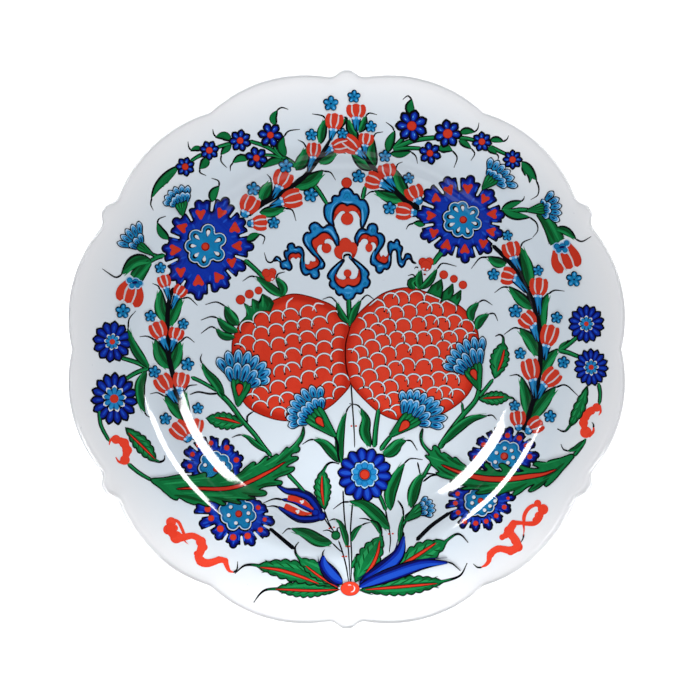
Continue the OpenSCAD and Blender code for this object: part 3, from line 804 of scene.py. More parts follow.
def daisy(m, level, centre, r, petals, turn, core):
    """A small flower of cobalt petals edged with black round a red middle."""
    centre = np.array(centre, float)
    wide = min(2 * math.pi * r * 0.66 / petals, r * 0.62)
    for a in spokes(petals, turn):
        m.stroke("black", level, ray(centre, a, r * 0.15, r * 1.02), wide, round_petal, grow=0.3)
    for a in spokes(petals, turn):
        m.stroke("cobalt", level + 1, ray(centre, a, r * 0.2, r * 0.9), wide * 0.76, round_petal)
        m.stroke("royal", level + 2, ray(centre, a, r * 0.36, r * 0.8), wide * 0.34, both_ends)
        m.stroke("light", level + 3, ray(centre, a + 6, r * 0.5, r * 0.66), wide * 0.12, both_ends, across=2)
    m.dot("black", level + 3, centre, core, grow=0.25)
    m.dot("red", level + 4, centre, core)


def round_petal(s):
    return np.clip(0.45 + 0.9 * s, 0, 1) * np.sqrt(np.clip(1 - np.clip((s - 0.62) / 0.38, 0, 1) ** 2, 0, 1))


# ---- rosettes ----------------------------------------------------------------------------------

def scalloped(bumps, size, drop, gaps=(), slit=1.5):
    """Outline of a flower. Each bump is (angle, reach), and each gap is (angle, reach of its bottom)."""
    angles, reach = np.array(sorted((a % 360, r) for a, r in bumps)).T
    ends = np.concatenate([angles[-1:] - 360, angles, angles[:1] + 360])
    heights = np.concatenate([reach[-1:], reach, reach[:1]])
    theta = np.arange(0, 360, 0.5)
    r = np.interp(theta, ends, heights) - drop
    for a, top in zip(angles, reach):
        off = np.radians((theta - a + 180) % 360 - 180)
        centre = top - size
        inside = size ** 2 - (centre * np.sin(off)) ** 2
        hit = (inside > 0) & (np.abs(off) < 1.2)
        r = np.where(hit, np.maximum(r, centre * np.cos(off) + np.sqrt(np.maximum(inside, 0))), r)
    for a, bottom in gaps:
        off = np.abs((theta - a + 180) % 360 - 180)
        half = math.degrees(slit / 2 / (bottom + 2))
        r = np.where(off < half, bottom + 0.5 * (off / half) ** 2, r)
    edge = np.stack([r * np.cos(np.radians(theta)), r * np.sin(np.radians(theta))], 1)
    around = np.linalg.norm(edge - np.roll(edge, 1, 0), axis=1).sum()
    return evenly(np.concatenate([edge, edge[:1]]), int(around / 0.5) + 1)[:-1]


def rosette(m, level, centre, bumps, gaps, petals, size=2.5, petal_size=3.6, hearts=(), dots=(), drops=True,
            pearls=(), core_r=1.8):
    """A cobalt rosette with a turquoise flower on it. Hearts are (x, y, way the point faces, size)."""
    c = np.array(centre, float)
    outline = scalloped(bumps, size, 1.6, gaps) + c
    m.fill("black", level, outline)
    m.fill("navy", level + 1, outline, -0.6)
    m.fill("cobalt", level + 2, outline, -0.9, soft=3.4)
    for a, r in bumps:
        m.stroke("royal", level + 3, ray(c, a, r - 5.5, r - 2.1), 1.1, both_ends, across=2)
    for a, r in gaps:
        m.stroke("royal", level + 3, [c + vec(a + 4, r - 4.6), c + vec(a + 2, r - 1.4)], 1.3, both_ends,
                 across=2)
    for x, y, turn, wide in hearts:
        m.fill("red", level + 4, turned(HEART, turn + 180, (x, y), wide))
    for x, y, r in dots:
        m.dot("red", level + 4, (x, y), r)
    flower = scalloped(petals, petal_size, petal_size * 0.9) + c
    m.fill("black", level + 5, flower + (-0.25, -0.25), 0.55)
    m.fill("white", level + 6, flower, 0.0)
    m.fill("light", level + 7, flower, -0.4)
    m.fill("turquoise", level + 8, flower, -0.75, soft=2.4)
    if drops:
        for a, r in petals:
            m.fill("black", level + 9, turned(DROP, a, c + vec(a, r * 0.62), r * 0.36))
            m.fill("white", level + 10, turned(DROP, a, c + vec(a, r * 0.58) + (0.15, 0.1), r * 0.27))
    for x, y in pearls:
        m.dot("black", level + 9, (x + 0.3, y - 0.3), 1.1)
        m.dot("white", level + 10, (x, y), 0.95)
    m.dot("dark_red", level + 9, c, core_r * 1.15)
    m.dot("red", level + 10, c + (-0.15, 0.15), core_r * 0.85)


m = Motif("rosette_upper_left", "cobalt")
rosette(m, 1, (-75.1, 54.6),
        ((110.6, 21.9), (99, 25.3), (87.7, 25), (75.4, 26.1), (66.3, 28.8), (56.6, 26.5), (45.5, 25),
         (34.2, 25.6), (22.2, 24), (11.9, 23.3), (0, 26), (-11.7, 23.1), (-22, 22.6), (-29.6, 24.7),
         (-43, 22.9), (-53.4, 21.8), (-62.3, 25.2), (-77.3, 25), (-90, 25.5), (-97.9, 29), (-112.1, 26.9),
         (-124.8, 25.6), (-137.7, 26), (-152.3, 22.8), (-162.4, 22.9), (-177.6, 23.4), (167, 20.4),
         (153.7, 20.5), (139.3, 22.8), (124, 20.8)),
        ((80.5, 18.9), (50, 20.2), (17, 18.9), (-17.5, 16.3), (-47.5, 16.7), (-84.7, 19.8), (-121, 20.8),
         (-156, 16), (161.5, 14.4), (117.5, 15.3)),
        ((80, 12.2), (27, 11.9), (-31.7, 11.4), (-96.5, 10.9), (-137.6, 10.8), (177, 11), (133, 11.1)),
        hearts=((-77.7, 71.8, -88, 4.9), (-66.9, 72.4, -115, 4.9), (-59.5, 64.7, 88, 5.2),
                (-58.2, 55, 180, 4.9), (-61.2, 46.2, -85, 4.7), (-68.5, 38.6, 125, 5),
                (-78.9, 36.5, 92, 5.4), (-88.2, 41.1, -88, 4.8), (-91.3, 52.9, 2, 5.4),
                (-87.6, 64.8, 165, 4.9)),
        core_r=2.0)
m.done()

m = Motif("rosette_upper_right", "cobalt")
rosette(m, 1, (61.9, 68.9),
        ((121.9, 23.7), (112, 24.8), (102.5, 23), (91.3, 22.5), (79.8, 24.2), (67.5, 21.4), (55, 21.2),
         (44.3, 22.6), (33.5, 21), (20, 20.8), (7.9, 22.5), (-2, 20.5), (-12.5, 19.8), (-20.8, 22.8),
         (-31, 21.2), (-42.5, 20.3), (-50.5, 22.9), (-62.5, 20.9), (-74.6, 21), (-87.3, 23.3), (-98.1, 20.5),
         (-109.5, 20.1), (-121.9, 22.7), (-134.8, 21.1), (-148, 22.4), (-158, 24.7), (-166, 22.6),
         (-176.5, 23.7), (173, 25.7), (163, 23.3), (151.4, 24.3), (143, 26), (132.5, 24.8)),
        ((97, 15.6), (60.8, 14.5), (26, 14.7), (-7, 15.3), (-36.4, 16.1), (-68.7, 15.2), (-103.9, 14.6),
         (-142.5, 15.2), (-171.3, 15.9), (157.7, 16.9), (127.2, 17.3)),
        ((94, 10), (126, 10.8), (168, 10.9), (-158, 11), (-116, 9.7), (-70, 10.2), (-18, 10.1), (38, 9.8)),
        petal_size=3.2,
        hearts=((54.4, 84.7, -68, 4.9), (64.3, 85.5, -90, 4.8), (73.1, 79.9, -120, 4.4),
                (77.3, 72, 180, 4.8), (76.7, 62.7, 168, 4.4), (72.5, 56.3, -95, 4.4), (62.7, 53.3, 90, 4.6),
                (52.9, 55.6, 78, 5), (46.2, 61.9, -98, 4.5), (44.7, 71.2, 2, 4.6), (47.4, 80.5, 95, 4.4)))
m.done()

m = Motif("rosette_left_inner", "cobalt")
rosette(m, 1, (-69.4, -63.7),
        ((69.9, 17.5), (77.5, 15.5), (55.4, 15.7), (40, 15.2), (25, 16), (10.6, 14.3), (89.6, 16.9),
         (99, 18), (112, 18.6), (120.7, 20.4), (129, 18.6), (140.7, 19.1), (149.5, 19.9), (156, 17.9),
         (163, 18.3), (172, 19), (184, 17), (200, 16), (225, 15), (255, 14), (285, 14), (315, 14),
         (345, 14)),
        ((81.5, 12.3), (45, 13.6), (104.5, 13), (134.7, 13.9), (159.2, 14.2), (190, 13)),
        ((135, 10.4), (174, 9.5), (92, 9.8), (52, 9.4), (13, 8.9), (-30, 9), (-75, 9), (-125, 9.2)),
        size=2.0, petal_size=3.1,
        dots=((-63.8, -52.2, 1.5), (-58.7, -58.7, 1.5), (-82, -55.7, 1.3), (-83.4, -62.1, 1.3),
              (-78.9, -50.8, 1.3), (-72.2, -49.7, 1.3)),
        drops=False, pearls=((-70.6, -57.2), (-75.3, -61.4), (-65.6, -60.4), (-66.2, -67)), core_r=1.5)
m.done()

m = Motif("rosette_left_outer", "cobalt")
rosette(m, 1, (-57.4, -87.4),
        ((177, 24), (168, 23.4), (188.5, 20), (195, 22), (201, 21.6), (215, 17.8), (228, 18.3),
         (236.5, 16.6), (247.9, 16.7), (259.5, 18.7), (270.3, 16.5), (282, 17.1), (294.5, 18.8), (305, 16.6),
         (315.5, 18.4), (324.5, 19.9), (331.5, 18.7), (340, 18.5), (346, 19.8), (354, 18.2), (5, 15.8),
         (15, 15.3), (27, 13.7), (45, 12.4), (70, 12), (100, 12), (130, 14), (152, 18)),
        ((182.5, 15.8), (206, 13.9), (240.8, 11.9), (276.6, 11.6), (310, 12.3), (335.5, 14.2),
         (359.5, 13.6)),
        ((164.7, 11), (196, 9.8), (240, 9.6), (303, 9.5), (351, 9.4), (36, 9), (80, 8.6), (122, 9.4)),
        size=2.2, petal_size=3.3,
        dots=((-73.9, -84.8, 1.75), (-72.1, -89.7, 1.65), (-67.2, -95.3, 1.85), (-60.4, -99.8, 1.75),
              (-52.7, -99.1, 1.75), (-45.9, -95.8, 1.4), (-43.6, -90.4, 1.2), (-47.1, -84, 1.3)),
        drops=False,
        pearls=((-61.7, -83.7), (-54.2, -83.6), (-52.3, -87), (-52.8, -90.9), (-58.9, -92.2),
                (-62.8, -88.1)),
        core_r=1.7)
m.done()

m = Motif("rosette_right_inner", "cobalt")
rosette(m, 1, (83.7, -56.8),
        ((86, 15), (77.8, 16.2), (71.5, 14.6), (60, 15.2), (51, 16.2), (43, 15.6), (32.5, 17), (23, 18),
         (17, 17), (8, 17.2), (1.8, 18.8), (-6, 17.4), (99, 15.4), (107, 16.3), (119, 15.6), (127, 15.8),
         (138, 16.2), (147, 17.2), (154, 16.6), (166, 17.6), (176, 19.6), (184, 18.7), (200, 16), (230, 13),
         (270, 12), (310, 13), (340, 15)),
        ((94, 12), (65.5, 11.8), (38.3, 13), (12.5, 14), (113, 12.5), (132.5, 12.5), (160, 13.5)),
        ((183, 10), (133, 9.2), (86, 8.6), (43, 9.6), (5, 9.6), (-40, 8.6), (-85, 8.4), (-135, 8.8)),
        size=1.9, petal_size=3.1,
        dots=((85.4, -45.7, 1.4), (91.7, -47.2, 1.45), (95.3, -51.1, 1.3), (97.2, -57, 1.4),
              (78.6, -45.6, 1.4), (72.7, -50.6, 1.4), (68.5, -57.5, 1.3)),
        drops=False,
        pearls=((83.9, -52.5), (87.5, -53.7), (88.4, -57.4), (85.6, -60.2), (78.9, -59.8), (79.5, -54.9)),
        core_r=1.9)
m.done()

m = Motif("rosette_right_outer", "cobalt")
rosette(m, 1, (71.2, -80.5),
        ((156.7, 15.9), (167, 17.8), (171.5, 16.8), (181, 17.2), (190, 19.2), (202, 18.1), (210, 19),
         (214.5, 16.4), (225, 17), (233.6, 18), (239, 15.9), (248.5, 15.6), (259.4, 16.9), (267, 14.9),
         (277.5, 14.8), (287.8, 16.4), (296, 14.6), (305.5, 14.7), (314, 15.8), (324, 14.6), (334, 15.9),
         (341, 17.1), (350, 16.3), (1, 17.5), (7, 18.9), (16, 16), (40, 12), (70, 11), (100, 11), (130, 12)),
        ((175, 13), (196, 13), (219, 13.4), (242.8, 12.5), (272, 11.8), (301, 10.9), (329.5, 11.9),
         (356.5, 14)),
        ((166, 8.9), (199, 8.9), (237, 8.8), (278.6, 8.4), (322, 8.4), (0, 8.9), (45, 8), (90, 7.6),
         (130, 7.8)),
        size=1.9, petal_size=2.8,
        dots=((58.9, -76.7, 1.25), (57.7, -81.7, 1.25), (59.2, -86.7, 1.3), (62.5, -91.3, 1.4),
              (68.5, -92.4, 1.4), (74.1, -91.3, 1.3), (79.4, -88.4, 1.3), (83.7, -83.8, 1.3),
              (85.7, -79.1, 0.9)),
        drops=False,
        pearls=((67.5, -78.5), (66.6, -81.6), (68.4, -84.8), (73.2, -85.4), (76.1, -83.2), (78.8, -80.5)),
        core_r=1.5)
m.done()


# ---- pomegranates ------------------------------------------------------------------------------

LEFT_FRUIT = [(-39.5, 25.6), (-27.5, 29.2), (-11.6, 25), (-3.6, 19.5), (1.0, 12), (-0.9, 3.6), (-1.1, -5),
              (-0.3, -12), (1.8, -18), (-3.6, -25.2), (-11, -31.3), (-21.5, -35.5), (-34, -37.6),
              (-48.2, -33.2), (-55.5, -26.5), (-59.6, -14), (-60.8, 0.9), (-59.4, 8), (-55.7, 14.8),
              (-49, 20.5)]
RIGHT_FRUIT = [(15.6, 27), (20.9, 30.2), (28.9, 32.3), (35.3, 32.4), (42.2, 30.2), (51.5, 27.2),
               (60.2, 22.7), (65.6, 16.9), (69.5, 8.4), (69.6, -6), (66.6, -19.3), (60.8, -27.3),
               (50.2, -34.2), (38.5, -37.4), (26.8, -37.2), (18.3, -33.9), (10.3, -27.3), (2.6, -18.5),
               (0.5, -11), (-0.4, -3), (0.2, 5), (3.2, 14.5), (9, 21.5)]


def scales(m, level, outline, tops, lean, size=(4.3, 4.1)):
    """Overlapping scales, one below each top point, whose pale crescents run down on the side of the lean."""
    fine = loop(outline, 300)
    for x, y in tops:
        turn = np.radians(np.linspace(204, 8, 18) if lean > 0 else np.linspace(-24, 172, 18))
        arc = np.stack([x + size[0] * np.cos(turn), y - size[1] + size[1] * np.sin(turn)], 1)
        arc = arc[within(fine, arc, 0.5)]
        if len(arc) < 4:
            continue
        m.stroke("black", level, arc, 1.1, stem_shape, across=2)
        m.stroke("white", level + 1, arc, 0.72, round_ends, across=2)
        for spot, r in ((arc[0] - (0, 0.5), 0.5), (arc[-1] + (0.3 * lean, -0.2), 0.36)):
            if within(fine, spot[None], 0.8)[0]:
                m.dot("black", level + 1, spot, r)


LEFT_TOPS = [(-52.5, 15.3), (-52.5, 7.7), (-45.5, 20), (-45.5, 12.2), (-45.5, 5.2), (-37, 20.7),
             (-37.5, 13.6), (-36, 6.4), (-36, -1.2), (-34.5, -8), (-36.5, -16.5), (-38, -24.4), (-36, -30.5),
             (-30, 21.8), (-29.5, 15.2), (-28.5, 8.4), (-28.8, 0.8), (-29, -6.8), (-28.5, -14.3),
             (-31.5, -22.7), (-20.5, 23.5), (-22, 16.7), (-21, 9.8), (-20, 3.3), (-20, -3.2), (-20, -11.3),
             (-14.5, 17.6), (-12, 11.2), (-12, 4.5), (-12, -2.1), (-13, -9.4), (-9.5, -17.2), (-9, -25.7),
             (-6.5, 20.5), (-3, 14.2), (-4, 6.8), (-4.3, 0), (-4, -7), (-3, -12.9), (-3, -19.7),
             (-46, -19.5), (-50.5, -23.6), (-46, -27.3), (-58, 3), (-55, -3.4), (-57, -10.8), (-50.5, -15.6),
             (-28.5, -30), (-20, -31.6), (-14.5, -29)]
RIGHT_TOPS = [(23.5, 30), (29, 31), (37, 31), (45, 30.3), (16, 26.5), (19, 22.6), (26, 23), (33, 24),
              (41, 25.5), (47, 24.8), (54, 26), (12.5, 19.5), (22, 16.2), (30, 16.5), (38, 17.5),
              (44.5, 18.5), (50.5, 17.3), (57, 18.5), (63.5, 15.8), (6, 17), (16.5, 14), (11, 11.2),
              (26.5, 9.7), (33.5, 9.7), (41, 9.5), (47, 11.2), (54.5, 9.8), (60, 11.3), (66.5, 9), (4, 8),
              (19, 8.2), (13.5, 5.2), (30, 3.5), (37, 2.4), (45, 2.3), (51.5, 4.8), (58, 3.4), (64.5, 3),
              (7, 2), (22, 1.8), (2, 0.2), (16.5, -1.7), (9.5, -4.3), (26, -6.2), (32, -4.6), (41, -5.1),
              (48, -4.2), (55, -4.6), (62, -4.4), (2.5, -6.7), (19, -8.6), (12, -10.5), (28.5, -13.2),
              (35.5, -13), (42, -13.6), (49, -11.8), (55.5, -12.6), (62.5, -12), (5, -13.8), (16, -17),
              (23, -16), (9.5, -20), (38, -20.6), (46.5, -20), (52, -19.2), (58.5, -21), (19, -23.8),
              (25, -22.6), (13, -25.8), (32, -24), (52.5, -26), (27, -29.4), (22, -31.9)]

m = Motif("pomegranate_left", "red")
outline = loop(LEFT_FRUIT, 200)
m.patch("dark_red", 1, outline, (-30, -4), grow=0.55, rings=3)
m.patch("scarlet", 2, outline, (-30, -4), rings=10)
scales(m, 3, LEFT_FRUIT, LEFT_TOPS, 1)
for points in ([(-28.5, 27.6), (-31.6, 25), (-32.2, 21)], [(-12, 24), (-16.4, 24.4), (-18.4, 20.4)]):
    m.stroke("white", 4, points, 0.74, round_ends, across=2)
m.done()

m = Motif("pomegranate_right", "red")
outline = loop(RIGHT_FRUIT, 200)
m.patch("dark_red", 1, outline, (34, -4), grow=0.55, rings=3)
m.patch("scarlet", 2, outline, (34, -4), rings=10)
scales(m, 3, RIGHT_FRUIT, RIGHT_TOPS, -1)
m.done()


# ---- cloud collar ------------------------------------------------------------------------------

def along(*stops):
    """A width rule from pairs of (way along, width factor)."""
    places, factors = zip(*stops)
    return lambda s: np.interp(s, places, factors)


def joined(m, level, strokes, dots):
    """Several cobalt strokes and dots that read as one painted shape with one dark line round it."""
    for pigment, lift, grow in (("black", 0, 0.5), ("cobalt", 1, 0.0)):
        for points, width, shape in strokes:
            m.stroke(pigment, level + lift, points, width, shape, grow=grow)
        for x, y, r in dots:
            m.dot(pigment, level + lift, (x, y), r, grow=grow)


def smoothed(points, step=0.55):
    """The closed curve through given points, with points about one step apart."""
    p = np.array(points, float)
    around = np.linalg.norm(p - np.roll(p, 1, 0), axis=1).sum()
    return loop(points, max(12, int(around / step)))


ARM_LEFT = [(-4.2, 55), (-4.1, 59.1), (-5.5, 62.4), (-6.8, 65.4), (-8.4, 66.3), (-10.4, 66.3), (-12.6, 65),
            (-15.1, 67.1), (-17.1, 67.7), (-19.4, 66.6), (-20.2, 64.4), (-19.4, 62.3), (-21.4, 62.3),
            (-22.9, 60.8), (-23.4, 58.4), (-22.6, 55.8), (-20.6, 53.1), (-18.4, 50.5), (-16.6, 48.9),
            (-15.1, 47.2), (-15, 45.6), (-16, 44.2), (-18, 43.4), (-19.6, 42.6), (-21.4, 43.5),
            (-22.3, 45.2), (-22.7, 48.1), (-22.6, 50.8), (-23.2, 53.1), (-24.4, 54.5), (-26.1, 54.8),
            (-27.2, 54.3), (-27.9, 55.9), (-29.2, 56.7), (-31, 56.1), (-31.8, 54.5), (-31.5, 52.8),
            (-32.9, 52.6), (-33.5, 51.4), (-33.2, 49.5), (-32.4, 47.6), (-33.6, 47.4), (-34.5, 46.9),
            (-35.7, 48.8), (-37.4, 49.5), (-38.5, 48.5), (-39.3, 46.9), (-37.8, 47), (-36.4, 47),
            (-35.5, 46.1), (-35.4, 44.5), (-34.9, 43.2), (-33.7, 42.5), (-32.5, 42.8), (-30.7, 41.8),
            (-29.2, 42.8), (-29.1, 44.5), (-30, 46.6), (-30.8, 48.8), (-29.9, 50.5), (-28.4, 51),
            (-27.2, 50.6), (-25.7, 51.1), (-24.7, 50.1), (-24.4, 48.4), (-24.9, 45.8), (-24.7, 43.2),
            (-23.7, 40.5), (-21.7, 39.2), (-19.7, 39.9), (-18.9, 38.2), (-16.9, 37.3), (-14.9, 38.2),
            (-14.4, 40.2), (-14.9, 42.3), (-12.7, 42.8), (-11.6, 44.5), (-11.8, 46.1), (-13.1, 48.1),
            (-15.1, 50.6), (-17.1, 53.5), (-18.3, 56.4), (-17.8, 58.4), (-16.1, 59.4), (-14.8, 60.5),
            (-12.8, 61.8), (-10.4, 61.6), (-8.5, 59.8), (-6.8, 57.1), (-5.6, 55)]
ARM_RIGHT = [(5.3, 54.9), (4.7, 56.4), (4, 58.8), (4.7, 61.1), (6.3, 63.6), (8.3, 64.5), (10.5, 63.7),
             (10.9, 65.3), (12, 66.6), (14, 67.1), (15.9, 66.2), (16.6, 64.1), (16.5, 62.2), (18.3, 61.8),
             (19.9, 60.1), (20.3, 57.8), (19.4, 55.1), (17.9, 52.8), (16.7, 51), (15.9, 49.8), (15.8, 48.4),
             (16.9, 47.1), (18.6, 46.3), (20.1, 45.8), (21.4, 46.8), (22.1, 48.8), (22.2, 50.8),
             (21.8, 52.8), (21.6, 55.1), (22.1, 56.8), (23.4, 57.6), (25, 57), (25.7, 58.3), (26.9, 58.6),
             (28.1, 57.3), (28.3, 55.7), (29.6, 54.6), (29.7, 53.1), (29.1, 51.1), (28.9, 49.1),
             (29.6, 47.8), (30.4, 48.8), (30.9, 50.3), (32.2, 51.1), (33.9, 50.5), (34.6, 48.8),
             (35.3, 46.9), (36.9, 45.7), (35, 46), (33.9, 47.4), (32.9, 48), (31.6, 47.1), (30.9, 45.1),
             (29.4, 43.5), (27.9, 44.3), (26.9, 46.5), (26.6, 49.5), (26.4, 51.8), (25.7, 52.8),
             (24.6, 52.5), (23.8, 50.5), (23.7, 47.5), (23.4, 45.1), (22.6, 43.2), (21.3, 42.3),
             (19.8, 42.6), (19.1, 41.2), (17.3, 40.3), (15.6, 41.5), (15, 43.9), (13, 45.1), (12.4, 46.8),
             (12.8, 49.5), (14.3, 52.1), (16, 54.6), (16.4, 57.1), (15.9, 59.1), (14.6, 59.9), (12.7, 59.8),
             (11.3, 60.8), (9.6, 61.1), (8, 60.4), (7, 58.8), (6.3, 56.8), (5.9, 55)]
TOP = [(-6.7, 65.1), (-8.5, 66.1), (-10.1, 67.4), (-11.6, 69.7), (-12.3, 72.7), (-12.1, 75.7), (-10.8, 77.7),
       (-8.2, 78.4), (-8.1, 80.4), (-6.8, 81.9), (-4.4, 81.9), (-3.8, 84), (-2.1, 85.7), (0.2, 86.1),
       (1.9, 85.4), (3.3, 83.9), (3.9, 82.7), (5.3, 82.7), (6.6, 81.4), (7.2, 79.9), (9, 79.9), (10.6, 78.4),
       (11.6, 76), (11.9, 73.1), (11.1, 69.7), (10, 67.1), (9.1, 65.2), (8, 64.3), (7.3, 65.6), (7.1, 68.7),
       (7.4, 71.4), (6.8, 73.7), (5.6, 75.4), (3.7, 76.5), (1.7, 76.7), (0.1, 76), (-0.9, 77), (-2.8, 77.4),
       (-5.1, 76), (-6.6, 73.7), (-7.1, 70.7), (-7, 68.1)]
LOW = [(-2, 47.9), (-4.1, 46.5), (-6.8, 44.2), (-9.1, 41.8), (-10.4, 39.2), (-9.9, 37.5), (-8.7, 37),
       (-9.4, 35.5), (-9.1, 33.5), (-7.5, 32), (-6.2, 31.8), (-5.8, 29.9), (-4.1, 28.5), (-2.5, 28.9),
       (-1.5, 26.9), (0.5, 25.7), (2.2, 26.2), (4, 27.5), (5, 29.5), (7.3, 29.4), (8.8, 30.5), (9.2, 32.3),
       (11, 32.7), (12.3, 34.5), (12.5, 36.5), (11.4, 38.2), (12, 40.2), (11, 42.2), (9, 44.2), (6.3, 46.5),
       (4, 48.1), (2, 49.8), (1.2, 49), (3, 46.8), (5, 44.5), (6.6, 42.2), (7.1, 39.8), (7.1, 37.2),
       (6.3, 35.2), (4.3, 33.9), (2.7, 33.9), (0.8, 34.7), (-1.5, 33.1), (-3.1, 33.5), (-4.8, 34.9),
       (-6, 36.8), (-6, 38.6), (-5.4, 40.2), (-4.5, 42.2), (-2.5, 45.1), (-1.3, 47.1)]

m = Motif("cloud_collar", "turquoise")
for outline in (ARM_LEFT, ARM_RIGHT, TOP, LOW):
    outline = smoothed(outline)
    m.fill("black", 1, outline, 0.22)
    m.fill("navy", 2, outline, -0.42)
    m.fill("sky", 3, outline, -0.82)
# darker blue in the hollows and lighter blue along the bends
for points, width in (
        (((-9.6, 68.6), (-10.7, 72.6), (-9.6, 76)), 1.3), (((-1.6, 79.6), (0.2, 82.6), (1.8, 79.6)), 2.2),
        (((-6.2, 79), (-6.2, 80.6)), 1.4), (((9.4, 68), (9.8, 72), (9, 76)), 1.3),
        (((5, 79.6), (5.2, 81)), 1.2), (((-18, 63.4), (-16.4, 64.8)), 1.4),
        (((-20.6, 57.4), (-18.2, 53), (-14.6, 48.6)), 1.0), (((-22.6, 47), (-22.4, 42.6)), 1.0),
        (((-29.4, 54.6), (-28.4, 53.4)), 1.6), (((-23.8, 50), (-23.8, 46)), 0.7),
        (((13.8, 64.4), (14, 61.8)), 2.0), (((18, 59.4), (18, 56.4), (15.8, 53)), 1.2),
        (((17.4, 43.4), (17.8, 42.4)), 1.4), (((23.4, 55.8), (23, 52.6)), 1.1),
        (((27, 54.6), (28, 50), (28.6, 46)), 0.9), (((32, 49.8), (33, 49.4)), 0.8),
        (((-8.4, 39.4), (-7.2, 36)), 1.5), (((-6.4, 33.6), (-4.4, 31)), 1.5), (((0, 29.6), (1, 27.8)), 2.4),
        (((9.6, 41.4), (9.2, 38.4)), 1.2), (((10.2, 36), (9, 34)), 1.4), (((6.2, 31.6), (4.6, 31)), 1.2)):
    m.stroke("turquoise", 4, points, width, both_ends, across=2)
for points, width in (
        (((-8.4, 67.6), (-8.4, 72), (-7.2, 76.2), (-4.6, 78.6)), 0.7),
        (((-3, 78.8), (0.2, 78.2), (3.4, 78.4)), 1.1), (((8.3, 66), (8.5, 70.6), (8, 75)), 1.1),
        (((-1.6, 84), (0.2, 84.8), (1.8, 83.8)), 0.6),
        (((-5.6, 58), (-8, 62.4), (-10.6, 64), (-12.6, 63.2)), 1.3), (((-15, 65.2), (-17.2, 66.2)), 0.6),
        (((-21.4, 60.4), (-21.8, 58), (-20, 54.4)), 0.7), (((-12.9, 46.4), (-13.6, 44)), 1.0),
        (((-18, 40.2), (-16.4, 39.2)), 0.7), (((-26, 52.8), (-28.2, 53.2)), 0.7),
        (((-33.2, 45.4), (-31.6, 44)), 0.9), (((-37.4, 48.6), (-35.4, 46.9)), 0.7),
        (((6, 59.6), (7.6, 62), (9.8, 62.2)), 0.8), (((12.4, 63.6), (12.8, 65.4)), 0.7),
        (((14.6, 52.4), (13.8, 49), (14, 46.6)), 0.8), (((16.6, 44.2), (19, 44.6)), 1.0),
        (((22.6, 50), (22.6, 46.4)), 0.7), (((25.9, 56.8), (27.2, 56.8)), 0.6),
        (((28, 46), (29.8, 45)), 0.7), (((-3.4, 46), (-7, 42), (-8.4, 39.6)), 0.8),
        (((4.4, 46.6), (8, 43.4), (9.2, 41.6)), 0.9), (((-1.4, 32), (0.8, 33), (3.2, 32)), 1.2),
        (((-1, 30.4), (0.8, 30), (2.6, 30.6)), 1.2)):
    m.stroke("light", 5, points, width, both_ends, across=2)
m.stroke("black", 7, [(-1.6, 48), (-1.3, 50), (0.2, 50.3), (1.6, 50.3), (2.6, 48.6)], 1.0, both_ends)
m.stroke("turquoise", 8, [(1.4, 49.6), (2.4, 48.2)], 1.0, both_ends, across=2)
m.stroke("black", 2, [(-38.8, 47.2), (-40.6, 46.1), (-42.6, 47.3), (-43.8, 51.4)], 0.9, hair_shape)
stalk(m, 1, [(-17.2, 87), (-14.4, 83.4), (-10.6, 77.4)], 1.9)
stalk(m, 1, [(8.4, 80), (9, 83), (9.8, 86.6)], 1.9)
stalk(m, 1, [(1, 26.5), (1.2, 20), (1.4, 12.8)], 2.2)
m.done()

